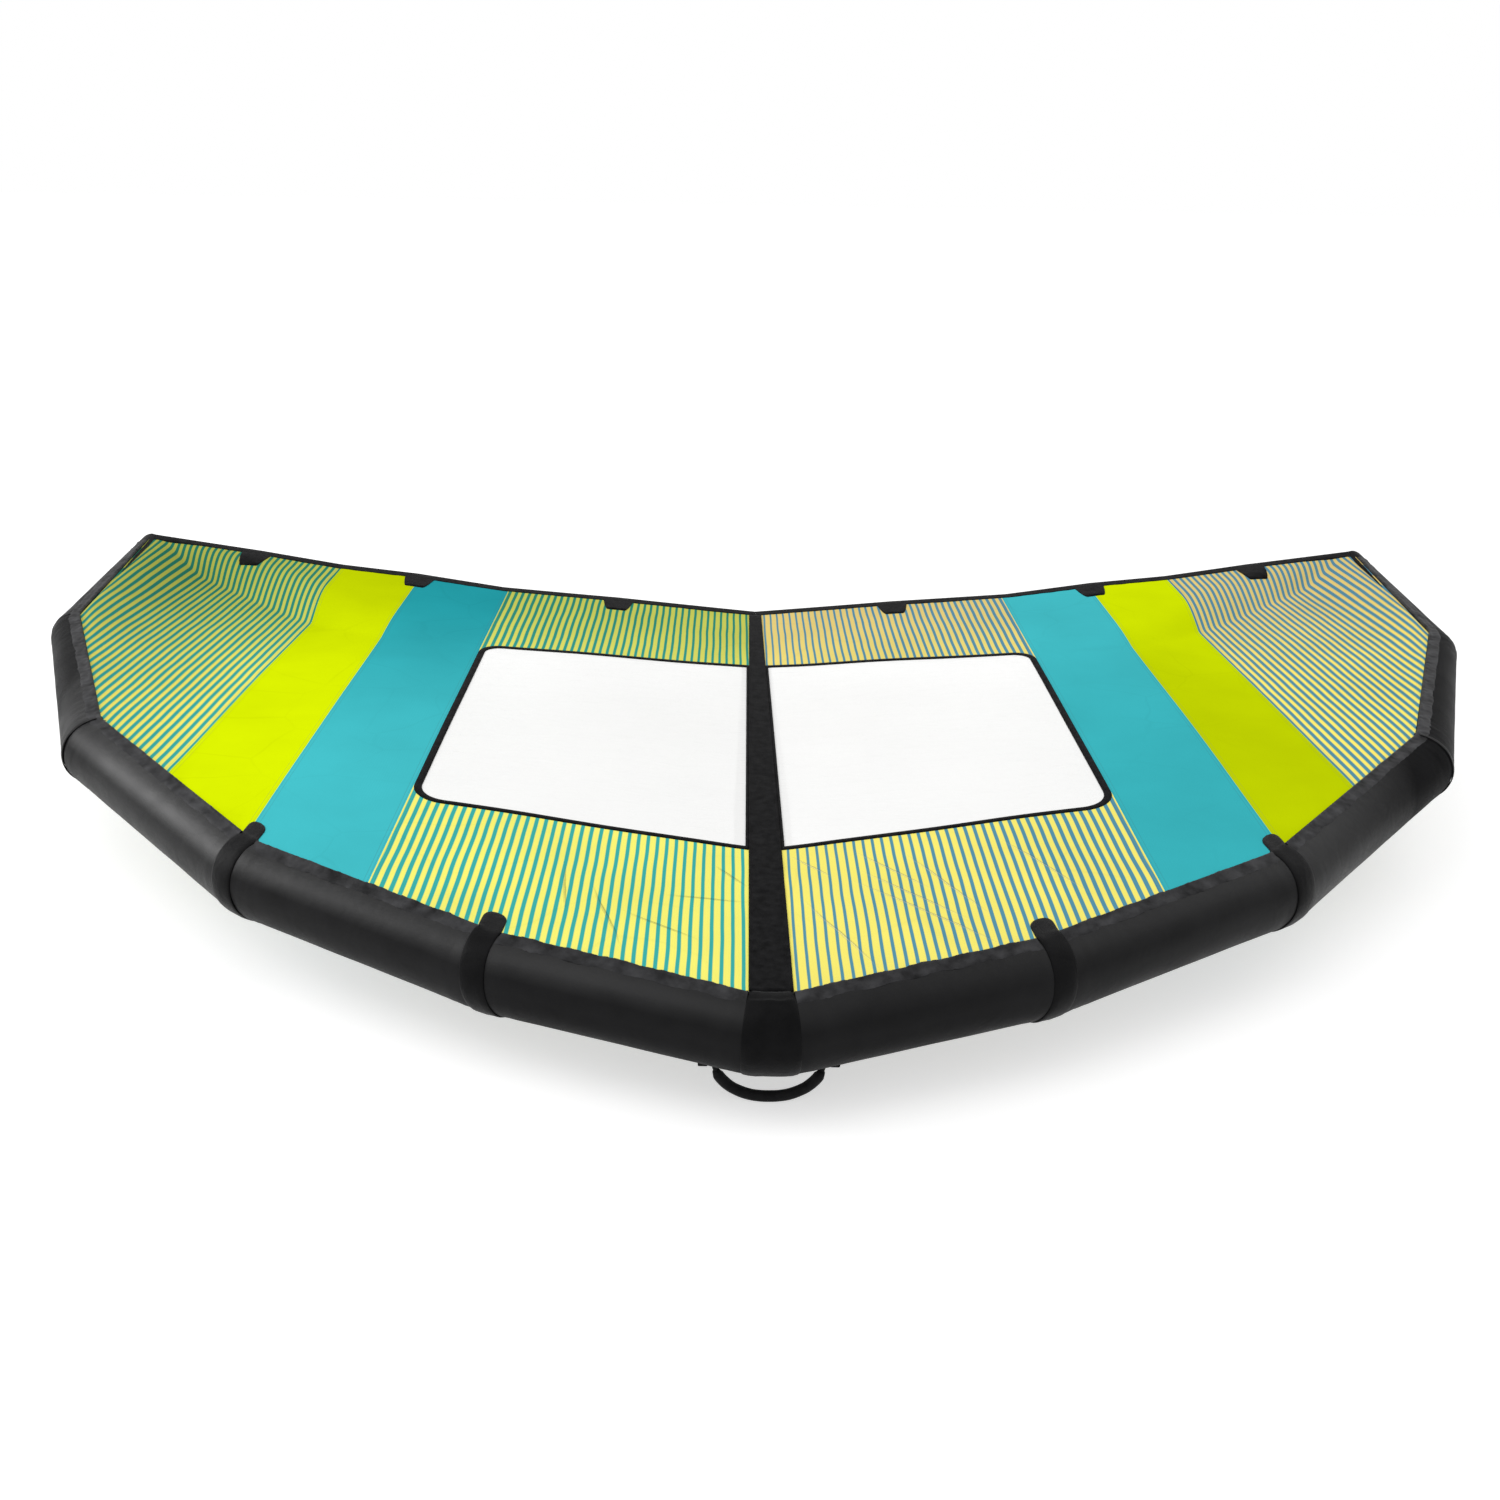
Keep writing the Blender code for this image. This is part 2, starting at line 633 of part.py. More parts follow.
def band(name, side, rows, first, last_column, tab_at=None):
    """A band of collar cloth over some columns of the tube, with a tab behind the seam if asked for."""
    outer = []
    inner = []
    for n, (i, f) in enumerate(rows):
        low = []
        high = []
        for k in range(last_column, first - 1, -1):
            lap = LAP if tab_at is not None and k == first else GAP
            low.append(tube_point(i, f, -k, lap))
            high.append(tube_point(i, f, -k, lap + COLLAR_SHEET))
        if tab_at is not None:
            back = unit(INWARDS[tab_at] * np.array((1.0, 1.0, 0.0)))
            sideways = unit(TANGENTS[tab_at] * np.array((1.0, 1.0, 0.0)))
            for reach, width in TAB_SHARES:
                shift = (n - 1) * TAB_HALF_WIDTH * width
                p = SEAM[tab_at] + back * TAB_LENGTH * reach + sideways * shift
                z = canopy_z(p[0], p[1]) + TAB_CLEARANCE
                low.append(np.array((p[0], p[1], z)))
                high.append(np.array((p[0], p[1], z + COLLAR_SHEET)))
        outer.append(high)
        inner.append(low)
    skin(name, to_side(outer, side), to_side(inner, side))


for side_name, side in SIDES:
    for n, half in enumerate(COLLAR_HALF_WIDTHS):
        i = n + 1
        rows = [(i - 1, 1.0 - half / LENGTHS[i - 1]), (i, 0.0), (i, half / LENGTHS[i])]
        band("collar_%d_%s" % (i, side_name), side, rows, 0, BAND_END, tab_at=i)
    i = len(COLLAR_HALF_WIDTHS) + 1
    half = OUTER_BAND_HALF_WIDTH
    rows = [(i - 1, 1.0 - half / LENGTHS[i - 1]), (i, 0.0), (i, half / LENGTHS[i])]
    band("seam_band_%s" % side_name, side, rows, 0, BAND_END)

CUFF_END = 18
cuff = []
for lift in (GAP + COLLAR_SHEET, GAP):
    right = [[tube_point(0, f, -k, lift) for k in range(CUFF_END, -1, -1)]
             for f in (0.0, CUFF_MARGIN / LENGTHS[0])]
    cuff.append([flipped(right[1]), flipped(right[0]), right[0], right[1]])
skin("le_cuff", cuff[0], cuff[1])

# Piping that covers the stitched seam, between the collars
PIPING_RUNS = (
    ("inner", PIPING_RADIUS, ((0, (CUFF_MARGIN + PIPING_RADIUS) / LENGTHS[0]),
               (0, 1.0 - (COLLAR_HALF_WIDTHS[0] + PIPING_RADIUS) / LENGTHS[0]))),
    ("middle", PIPING_RADIUS, ((1, (COLLAR_HALF_WIDTHS[0] + PIPING_RADIUS) / LENGTHS[1]),
                (1, 1.0 - (COLLAR_HALF_WIDTHS[1] + PIPING_RADIUS) / LENGTHS[1]))),
    ("outer", 1.2 * PIPING_RADIUS + GAP, ((2, (COLLAR_HALF_WIDTHS[1] + PIPING_RADIUS) / LENGTHS[2]), (2, 0.5),
                                          (3, 0.0), (3, 0.5), (4, 0.0), (4, 0.5), (4, BLADDER_END_SHARE))),
)
for side_name, side in SIDES:
    for run_name, lift, run in PIPING_RUNS:
        rings = []
        for i, f in run:
            ahead = []
            for at in (i, min(i + 1, LAST)):
                ahead.append(seam_column(at) - PIPING_AHEAD / RADII[at] * TUBE_SIDES / (2.0 * math.pi))
            centre = tube_point(i, f, ahead[0], lift, ahead[1])
            over = OVERS[i]
            across = INWARDS[i] * STRETCH[i] if f == 0.0 else np.cross(over, LEGS[i])
            rings.append([centre + PIPING_RADIUS * (over * math.cos(2.0 * math.pi * k / PIPING_SIDES)
                                                    + across * math.sin(2.0 * math.pi * k / PIPING_SIDES))
                          for k in range(PIPING_SIDES)])
        rings = to_side(rings, side)
        points = [p for ring in rings for p in ring]
        faces = []
        for n in range(len(rings) - 1):
            for k in range(PIPING_SIDES):
                m = (k + 1) % PIPING_SIDES
                a = n * PIPING_SIDES
                b = a + PIPING_SIDES
                faces.append((a + k, a + m, b + m, b + k))
        last = (len(rings) - 1) * PIPING_SIDES
        faces.append(tuple(reversed(range(PIPING_SIDES))))
        faces.append(tuple(range(last, last + PIPING_SIDES)))
        add_body("seam_piping_%s_%s" % (run_name, side_name), points, faces)

# Canopy cloth
HALF_GAP = 0.5 * GAP
WINDOW_SIDE = TEAL_X - HALF_GAP
for side_name, side in SIDES:
    cloth("striped_front_%s" % side_name, side,
          columns(STRIP_FRONT_HALF, WINDOW_SIDE, [SEAM_X[2]] + corner_marks(False)),
          lambda x: front_y(x) + GAP, lambda x: window_y(x, False, 0.0) - HALF_GAP, 5, CANOPY_SHEET, HALF_GAP)
    film_inset = WINDOW_FRAME + 3.0 * GAP
    cloth("window_film_%s" % side_name, side,
          columns(STRIP_FRONT_HALF + film_inset, TEAL_X - film_inset,
                  [TEAL_X - WINDOW_CORNER * share for share in (1.0, 0.6, 0.42, 0.32)]),
          lambda x: window_y(x, False, film_inset), lambda x: window_y(x, True, film_inset),
          9, CANOPY_SHEET, film_inset)
    cloth("striped_rear_%s" % side_name, side,
          columns(STRIP_REAR_HALF, WINDOW_SIDE, HEM_MARKS + corner_marks(True)),
          lambda x: window_y(x, True, 0.0) + HALF_GAP, lambda x: hem_y(x) - HALF_GAP, 5, CANOPY_SHEET,
          HALF_GAP, tail=True)
    cloth("teal_band_%s" % side_name, side, columns(TEAL_X + HALF_GAP, LIME_X - HALF_GAP, [SEAM_X[3]] + HEM_MARKS),
          lambda x: front_y(x) + GAP, lambda x: hem_y(x) - HALF_GAP, 15, CANOPY_SHEET, tail=True)
    cloth("lime_band_%s" % side_name, side, columns(LIME_X + HALF_GAP, TIP_PANEL_X - HALF_GAP, HEM_MARKS),
          lambda x: front_y(x) + GAP, lambda x: hem_y(x) - HALF_GAP, 15, CANOPY_SHEET, tail=True)
    cloth("striped_tip_%s" % side_name, side,
          columns(TIP_PANEL_X + HALF_GAP, TIP_END_X, [SEAM_X[4], SEAM_X[5]] + HEM_MARKS),
          lambda x: front_y(x) + GAP, lambda x: hem_y(x) - HALF_GAP, 15, CANOPY_SHEET, tail=True)
    cloth("hem_tape_%s" % side_name, side,
          columns(HALF_GAP, TIP_END_X, HEM_MARKS),
          lambda x: hem_y(x) + HALF_GAP, rear_y, 2, HEM_TAPE)

# Black frame round each window
for side_name, side in SIDES:
    loops = []
    for inset in (HALF_GAP, WINDOW_FRAME):
        lines = columns(STRIP_FRONT_HALF + WINDOW_FRAME, TEAL_X - 1.2 * WINDOW_CORNER, [])
        loop = []
        for rear in (False, True):
            inner, outer = WINDOW_REAR_SHARES if rear else WINDOW_FRONT_SHARES
            slope = CHORD * (outer - inner) / TEAL_X
            sign = -1.0 if rear else 1.0
            corner_x = TEAL_X - WINDOW_CORNER
            corner_y = CHORD * inner + slope * corner_x + sign * WINDOW_CORNER * math.hypot(1.0, slope)
            start = math.atan2(-sign, sign * slope)
            part = []
            y = window_y(STRIP_FRONT_HALF, rear, inset)
            x = strip_half(y) + inset
            part.append((x, window_y(x, rear, inset)))
            part += [(x, window_y(x, rear, inset)) for x in lines[1:]]
            radius = WINDOW_CORNER - inset
            part += [(corner_x + radius * math.cos(start * (1.0 - n / ARC_PARTS)),
                      corner_y + radius * math.sin(start * (1.0 - n / ARC_PARTS))) for n in range(ARC_PARTS + 1)]
            if rear:
                part.reverse()
                side_y = [loop[-1][1] + (part[0][1] - loop[-1][1]) * n / 6.0 for n in range(1, 6)]
                loop += [(TEAL_X - inset, y) for y in side_y]
            loop += part
        side_y = [loop[-1][1] + (loop[0][1] - loop[-1][1]) * n / 8.0 for n in range(1, 8)]
        loop += [(strip_half(y) + inset, y) for y in side_y]
        loops.append([np.array((x, y, canopy_z(x, y))) for x, y in loop])
    low = [[p - UP * FRAME_TAPE for p in row] for row in loops]
    skin("window_frame_%s" % side_name, to_side(loops, side), to_side(low, side), wrap=True)

# Strip over the strut
top = []
strip_rear = hem_y(0.0) - GAP
for n in range(11):
    row = []
    for across in (-1.0, 0.0, 1.0):
        half = strip_half(strip_rear * n / 10.0) - HALF_GAP
        front = front_y(half * abs(across)) + 3.0 * GAP
        y = front + (strip_rear - front) * n / 10.0
        row.append(np.array((across * half, y, canopy_z(half * abs(across), y))))
    top.append(row)
skin("strut_strip", top, [[p - UP * STRIP_SHEET for p in row] for row in top])


def strut_radius(y):
    """The strut's radius along its length."""
    return float(np.interp(y, (STRUT_TAPER_Y, STRUT_END_Y), (0.5 * STRUT_DIAMETER, 0.5 * STRUT_END_DIAMETER)))


def strut_point(y, column, lift, squeeze=1.0):
    """A point round the strut; column counts from the top towards +X."""
    turn = 2.0 * math.pi * column / STRUT_SIDES
    radius = strut_radius(y)
    reach = (radius + lift) * squeeze
    top_z = -STRIP_SHEET - STRUT_CLEARANCE
    return np.array((reach * math.sin(turn), y, top_z - radius + reach * math.cos(turn)))


def strut_ring(y, lift, squeeze=1.0):
    """All the points round the strut at one place."""
    return [strut_point(y, k, lift, squeeze) for k in range(STRUT_SIDES)]


def saddle_ring(lift):
    """The strut's front end, cut to the round of the leading edge."""
    ring = []
    for p in strut_ring(STRUT_START_Y, lift):
        beyond = max(abs(p[0]) - AXIS[0][0], 0.0)
        height = p[2] - AXIS[0][2]
        reach = RADII[0] + SADDLE_MARGIN
        depth = math.sqrt(max(reach * reach - height * height, 0.0)) * STRETCH[0] ** 2
        y = AXIS[0][1] + beyond * LEGS[0][1] / LEGS[0][0] + depth + SADDLE_MARGIN
        ring.append(np.array((p[0], y, p[2])))
    return ring


STRUT_STOPS = [STRUT_START_Y, STRUT_VALVE_Y - VALVE_HOLE_HALF, STRUT_VALVE_Y + VALVE_HOLE_HALF, STRUT_TAPER_Y,
               STRUT_END_Y]
STRUT_POLE_Z = -STRIP_SHEET - STRUT_CLEARANCE - 0.5 * STRUT_END_DIAMETER
grids = []
poles = []
for lift in (0.0, -TUBE_WALL):
    rows = [saddle_ring(lift)] + [strut_ring(y, lift) for y in STRUT_STOPS]
    cap = strut_ring(STRUT_END_Y, lift, TIP_CAP_SHARES[1])
    rows.append([p + ALONG * STRUT_CAP_LENGTH * TIP_CAP_SHARES[0] for p in cap])
    grids.append(rows)
    poles.append(np.array((0.0, STRUT_END_Y + STRUT_CAP_LENGTH + lift, STRUT_POLE_Z)))
skin("strut_shell", grids[0], grids[1], wrap=True, end_pole=poles,
     holes=((2, STRUT_VALVE_COLUMN - 1), (2, STRUT_VALVE_COLUMN)))

grids = []
front_poles = []
rear_poles = []
for lift in (-TUBE_WALL - GAP, -TUBE_WALL - GAP - BLADDER_WALL):
    grids.append([strut_ring(y, lift) for y in STRUT_STOPS])
    front_z = -STRIP_SHEET - STRUT_CLEARANCE - 0.5 * STRUT_DIAMETER
    front_poles.append(np.array((0.0, STRUT_START_Y - 0.2 * STRUT_CAP_LENGTH - lift, front_z)))
    rear_poles.append(np.array((0.0, STRUT_END_Y + 0.5 * STRUT_CAP_LENGTH + lift, STRUT_POLE_Z)))
skin("strut_bladder", grids[0], grids[1], wrap=True, start_pole=front_poles, end_pole=rear_poles,
     holes=((1, STRUT_VALVE_COLUMN - 1), (1, STRUT_VALVE_COLUMN)))

# Belly strip under the strut with the lugs of its two handles
BELLY_COLUMN = STRUT_SIDES // 2
belly_stops = [BELLY_FRONT_Y, STRUT_TAPER_Y, BELLY_REAR_Y]
outer = [[strut_point(y, k, GAP + BELLY_SHEET) for k in range(BELLY_COLUMN - 1, BELLY_COLUMN + 2)]
         for y in belly_stops]
inner = [[strut_point(y, k, GAP) for k in range(BELLY_COLUMN - 1, BELLY_COLUMN + 2)] for y in belly_stops]
belly = skin("belly_strip", outer, inner)


def handle(name, middle, along, outward, half, drop, sleeve_radius, hinge_name):
    """A rope on two lugs with a padded sleeve round its middle, both on a holder on the hinge's axis."""
    binormal = np.cross(along, outward)
    hinge = holder(hinge_name, middle + outward * HINGE_HEIGHT)
    path = [middle + along * half * u + outward * (HINGE_HEIGHT + drop * v) for u, v in HANDLE_SHARES]
    rod("%s_rope" % name, path, ROPE_RADIUS, hinge)
    first, last_point = SLEEVE_POINTS
    part = path[first:last_point + 1]
    outer_rings = path_rings(part, sleeve_radius, SLEEVE_SIDES, binormal)
    inner_rings = path_rings(part, ROPE_RADIUS + 2.0 * GAP, SLEEVE_SIDES, binormal)
    skin("%s_sleeve" % name, outer_rings, inner_rings, wrap=True, parent=hinge)


def lug(name, end, along, outward):
    """A sewn block that an end of a handle's rope turns against."""
    outline = [(GAP, -0.5 * LUG_WIDTH), (LUG_LENGTH, -0.5 * LUG_WIDTH), (LUG_LENGTH, 0.5 * LUG_WIDTH),
               (GAP, 0.5 * LUG_WIDTH)]
    seat = holder("%s_seat" % name, end, (along, np.cross(outward, along), outward))
    return prism(name, outline, -LUG_SINK, LUG_HEIGHT, seat)


for n, (centre_y, place) in enumerate(zip(STRUT_HANDLE_YS, ("front", "rear"))):
    foot_front = strut_point(centre_y - STRUT_HANDLE_HALF, BELLY_COLUMN, GAP + BELLY_SHEET)
    foot_rear = strut_point(centre_y + STRUT_HANDLE_HALF, BELLY_COLUMN, GAP + BELLY_SHEET)
    line = unit(foot_rear - foot_front)
    down = unit(np.cross(ACROSS, line))
    down = down if down[2] < 0.0 else -down
    middle = 0.5 * (foot_front + foot_rear)
    half = 0.5 * np.linalg.norm(foot_rear - foot_front)
    handle("strut_handle_%d" % (n + 1), middle, line, down, half, STRUT_HANDLE_DROP, STRUT_SLEEVE_RADIUS,
           "strut_handle_%s_hinge" % place)
    union(belly, lug("lug_front_%d" % (n + 1), middle - line * half, -line, down))
    union(belly, lug("lug_rear_%d" % (n + 1), middle + line * half, line, down))

# Hand loop under the front of the leading edge, with an anchor patch at each end
share = (LE_HANDLE_HALF - AXIS[0][0]) / (AXIS[1][0] - AXIS[0][0])
foot = tube_point(0, share, LE_HANDLE_COLUMN, GAP + ANCHOR_SHEET)
axis_here = AXIS[0] + (AXIS[1] - AXIS[0]) * share
outward = unit((foot - axis_here) * np.array((0.0, 1.0, 1.0)))
ease = ANCHOR_HALF / LENGTHS[0]
patch_columns = range(LE_HANDLE_COLUMN - 1, LE_HANDLE_COLUMN + 2)
middle = np.array((0.0, foot[1], foot[2]))
for side_name, side in SIDES:
    rows = [share - ease, share + ease]
    outer = [[tube_point(0, f, k, GAP + ANCHOR_SHEET) for k in patch_columns] for f in rows]
    inner = [[tube_point(0, f, k, GAP) for k in patch_columns] for f in rows]
    patch = skin("le_handle_anchor_%s" % side_name, to_side(outer, side), to_side(inner, side))
    end = middle + ACROSS * LE_HANDLE_HALF * side
    union(patch, lug("le_lug_%s" % side_name, end, ACROSS * side, outward))
handle("le_handle", middle, ACROSS, outward, LE_HANDLE_HALF, LE_HANDLE_DROP, LE_SLEEVE_RADIUS, "le_handle_hinge")

# Leash loop: a strap of webbing bent to a U, its two feet on the belly strip
foot = strut_point(LEASH_Y, BELLY_COLUMN, 2.0 * GAP + BELLY_SHEET)
half_sheet = 0.5 * LEASH_SHEET
path = [(-LEASH_HALF - LEASH_FOOT, half_sheet), (-LEASH_HALF, half_sheet), (-LEASH_BOTTOM_HALF, LEASH_DROP),
        (LEASH_BOTTOM_HALF, LEASH_DROP), (LEASH_HALF, half_sheet), (LEASH_HALF + LEASH_FOOT, half_sheet)]
grids = [[], []]
for n, (u, v) in enumerate(path):
    here = np.array((u, v))
    before = unit(here - np.array(path[n - 1])) if n > 0 else None
    after = unit(np.array(path[n + 1]) - here) if n + 1 < len(path) else before
    before = after if before is None else before
    tangent = unit(before + after)
    normal = np.array((-tangent[1], tangent[0])) / np.dot(tangent, after)
    for grid, sign in zip(grids, (1.0, -1.0)):
        u_here, v_here = here + normal * half_sheet * sign
        spot = foot + ALONG * u_here - UP * v_here
        grid.append([spot - ACROSS * LEASH_HALF_WIDTH, spot + ACROSS * LEASH_HALF_WIDTH])
skin("leash_loop", grids[0], grids[1])


def valve(name, origin, along, outward):
    """Valve body, spring-loaded plunger and hinged cap standing on a tube."""
    frame = (along, np.cross(outward, along), outward)
    seat_place = holder("%s_seat" % name, origin, frame)
    body = [(BORE_RADIUS, -NECK_DEPTH), (NECK_RADIUS, -NECK_DEPTH), (NECK_RADIUS, GAP), (FLANGE_RADIUS, GAP),
            (FLANGE_RADIUS, FLANGE_TOP), (RIM_RADIUS, FLANGE_TOP), (RIM_RADIUS, RIM_TOP), (BORE_RADIUS, RIM_TOP)]
    turned("%s_body" % name, body, VALVE_SIDES, seat_place, ring=True)
    seat = -NECK_DEPTH - GAP
    button = RIM_TOP - BUTTON_SHEET - GAP
    plunger = [(0.0, seat - POPPET_SHEET), (POPPET_RADIUS, seat - POPPET_SHEET), (POPPET_RADIUS, seat),
               (STEM_RADIUS, seat), (STEM_RADIUS, button), (BUTTON_RADIUS, button),
               (BUTTON_RADIUS, button + BUTTON_SHEET), (0.0, button + BUTTON_SHEET)]
    slide = holder("%s_plunger_slide" % name, origin, frame)
    turned("%s_plunger" % name, plunger, VALVE_SIDES // 2, slide)
    half_turn = math.asin(TONGUE_HALF / CAP_RADIUS)
    sweep = 2.0 * math.pi - 2.0 * half_turn
    low = RIM_TOP + GAP
    half_leg = 0.5 * LEG_SHEET
    reach = TONGUE_REACH - half_leg
    height = 0.5 * (LEG_FOOT + low)
    hinge = holder("%s_cap_hinge" % name, origin + along * reach + outward * height, frame)
    outline = [(CAP_RADIUS * math.cos(half_turn + sweep * k / VALVE_SIDES) - reach,
                CAP_RADIUS * math.sin(half_turn + sweep * k / VALVE_SIDES)) for k in range(VALVE_SIDES + 1)]
    outline += [(half_leg, -TONGUE_HALF), (half_leg, TONGUE_HALF)]
    cap = prism("%s_cap" % name, outline, low - height, low - height + CAP_SHEET, hinge)
    inside = TONGUE_HALF - GAP
    leg = [(-half_leg, -inside), (half_leg - GAP, -inside), (half_leg - GAP, inside), (-half_leg, inside)]
    union(cap, prism("%s_leg" % name, leg, LEG_FOOT - height, low - height + 0.5 * CAP_SHEET, hinge))


spot = tube_point(0, LE_VALVE_SHARE, LE_VALVE_COLUMN, 0.0)
axis_here = AXIS[0] + (AXIS[1] - AXIS[0]) * LE_VALVE_SHARE
outward = spot - axis_here
outward = unit(outward - LEGS[0] * np.dot(outward, LEGS[0]))
valve("le_valve", spot, LEGS[0], outward)

spot = strut_point(STRUT_VALVE_Y, STRUT_VALVE_COLUMN, 0.0)
turn = 2.0 * math.pi * STRUT_VALVE_COLUMN / STRUT_SIDES
outward = ACROSS * math.sin(turn) + UP * math.cos(turn)
valve("strut_valve", spot, ALONG, outward)
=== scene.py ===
import math

import bpy
import numpy as np
from mathutils import Matrix, Vector


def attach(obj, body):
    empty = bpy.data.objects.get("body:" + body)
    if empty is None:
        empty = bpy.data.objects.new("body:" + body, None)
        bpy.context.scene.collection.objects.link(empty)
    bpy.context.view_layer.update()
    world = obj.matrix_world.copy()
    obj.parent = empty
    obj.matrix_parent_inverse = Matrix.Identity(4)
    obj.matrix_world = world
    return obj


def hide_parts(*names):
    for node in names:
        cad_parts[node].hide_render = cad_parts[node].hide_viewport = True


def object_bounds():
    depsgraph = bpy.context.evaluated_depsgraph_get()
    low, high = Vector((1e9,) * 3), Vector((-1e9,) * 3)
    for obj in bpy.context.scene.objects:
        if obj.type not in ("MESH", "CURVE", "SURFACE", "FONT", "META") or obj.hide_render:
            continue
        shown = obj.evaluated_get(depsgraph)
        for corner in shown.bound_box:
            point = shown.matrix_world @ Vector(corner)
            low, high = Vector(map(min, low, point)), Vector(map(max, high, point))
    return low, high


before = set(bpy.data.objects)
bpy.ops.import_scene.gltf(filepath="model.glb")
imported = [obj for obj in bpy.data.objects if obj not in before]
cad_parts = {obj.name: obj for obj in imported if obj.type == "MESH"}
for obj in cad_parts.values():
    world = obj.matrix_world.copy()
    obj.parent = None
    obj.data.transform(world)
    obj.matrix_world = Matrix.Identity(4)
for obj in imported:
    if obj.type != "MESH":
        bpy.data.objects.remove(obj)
cad_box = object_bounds()
SIDES = (("left", -1.0), ("right", 1.0))
WHITE = (1.0, 1.0, 1.0, 1.0)


def add_object(name, data):
    """A new object in the scene."""
    thing = bpy.data.objects.new(name, data)
    bpy.context.scene.collection.objects.link(thing)
    return thing


# Nodes: what every finish below is put together from. A value may be a number or a node's socket.
def step(tree, kind, inputs=(), **settings):
    """One node of a finish; each input takes a value or another node's socket."""
    node = tree.nodes.new("ShaderNode" + kind)
    for key, value in settings.items():
        setattr(node, key, value)
    for socket, value in inputs:
        if isinstance(value, bpy.types.NodeSocket):
            tree.links.new(value, node.inputs[socket])
        else:
            node.inputs[socket].default_value = value
    return node


def calc(tree, operation, *values):
    """The outcome of one Math node."""
    return step(tree, "Math", enumerate(values), operation=operation).outputs[0]


def largest(tree, value, *others):
    """The largest of several values."""
    for other in others:
        value = calc(tree, "MAXIMUM", value, other)
    return value


def ranged(tree, value, low, high, to_low=0.0, to_high=1.0, **settings):
    """A value carried over from one range to another."""
    inputs = (("Value", value), ("From Min", low), ("From Max", high), ("To Min", to_low),
              ("To Max", to_high))
    return step(tree, "MapRange", inputs, **settings).outputs[0]


def blend(tree, factor, first, second, kind="MIX"):
    """Two colours mixed, or multiplied."""
    return step(tree, "Mix", (("Factor", factor), ("A", first), ("B", second)), data_type="RGBA",
                blend_type=kind).outputs["Result"]


def grey(tree, level):
    """A level as a colour."""
    return step(tree, "CombineColor", enumerate((level, level, level))).outputs[0]


def noise(tree, where, scale, detail, distortion=0.0):
    """A noise node over a place."""
    return step(tree, "TexNoise", (("Vector", where), ("Scale", scale), ("Detail", detail),
                                   ("Distortion", distortion)))


def object_place(tree):
    """Where a point lies on its piece."""
    return step(tree, "TexCoord").outputs["Object"]


def cloth_place(tree):
    """Where a point lies on the flat cloth: the place itself, across the cloth and along it."""
    flat = step(tree, "UVMap", uv_map="cloth").outputs[0]
    split = step(tree, "SeparateXYZ", ((0, flat),))
    return flat, split.outputs["X"], split.outputs["Y"]


# Camera: it stands in front of the wing and above it and looks down along the strut.
# The lens takes in the whole span with white all round.
CAMERA_AT = (-0.0697, -1.947, 1.170)
LENS = 36.0
SENSOR = 36.0
look = (Matrix.Rotation(math.radians(-0.92), 3, "Z") @ Matrix.Rotation(math.radians(-21.83), 3, "X")
        @ Matrix.Rotation(math.radians(-1.04), 3, "Y"))
camera_place = Matrix((look.col[0], look.col[2], -look.col[1])).transposed().to_4x4()
camera_place.translation = CAMERA_AT
camera_data = bpy.data.cameras.new("camera")
camera_data.lens = LENS
camera_data.sensor_width = SENSOR
camera = add_object("camera", camera_data)
camera.matrix_world = camera_place
bpy.context.scene.camera = camera
bpy.context.scene.view_settings.view_transform = "Standard"


# Studio: a white floor under the wing, a white surround, a wide soft lamp high on each side and a
# big one low on the far left for the gloss of the tube. The floor keeps the wing's soft shadow.
def seen_directly(tree):
    """One where the camera, a gloss or clear film looks straight at it, else zero."""
    path = step(tree, "LightPath").outputs
    return largest(tree, path["Is Camera Ray"], path["Is Glossy Ray"], path["Is Transmission Ray"])


ROOM_LIGHT = 0.66
world = bpy.data.worlds.new("studio")
bpy.context.scene.world = world
world.use_nodes = True
room = world.node_tree
background = room.nodes["Background"].inputs
room.links.new(ranged(room, seen_directly(room), 0.0, 1.0, ROOM_LIGHT), background["Strength"])
background["Color"].default_value = WHITE

FLOOR_HALF = 40.0
FLOOR_BELOW = 0.001
FLOOR_GREY = 0.72
FLOOR_GLOW = 0.57
floor_z = cad_box[0][2] - FLOOR_BELOW
floor_mesh = bpy.data.meshes.new("floor")
floor_ways = ((-1.0, -1.0), (1.0, -1.0), (1.0, 1.0), (-1.0, 1.0))
floor_mesh.from_pydata([(x * FLOOR_HALF, y * FLOOR_HALF, floor_z) for x, y in floor_ways], [], [(0, 1, 2, 3)])
floor = add_object("floor", floor_mesh)
floor_white = bpy.data.materials.new("floor_white")
floor_white.use_nodes = True
boards = floor_white.node_tree
boards.nodes.remove(boards.nodes["Principled BSDF"])
matt = step(boards, "BsdfDiffuse", (("Color", (FLOOR_GREY, FLOOR_GREY, FLOOR_GREY, 1.0)),))
glow = step(boards, "Emission", (("Strength", calc(boards, "MULTIPLY", seen_directly(boards), FLOOR_GLOW)),))
both = step(boards, "AddShader", ((0, matt.outputs[0]), (1, glow.outputs[0])))
boards.links.new(both.outputs[0], boards.nodes["Material Output"].inputs["Surface"])
floor_mesh.materials.append(floor_white)

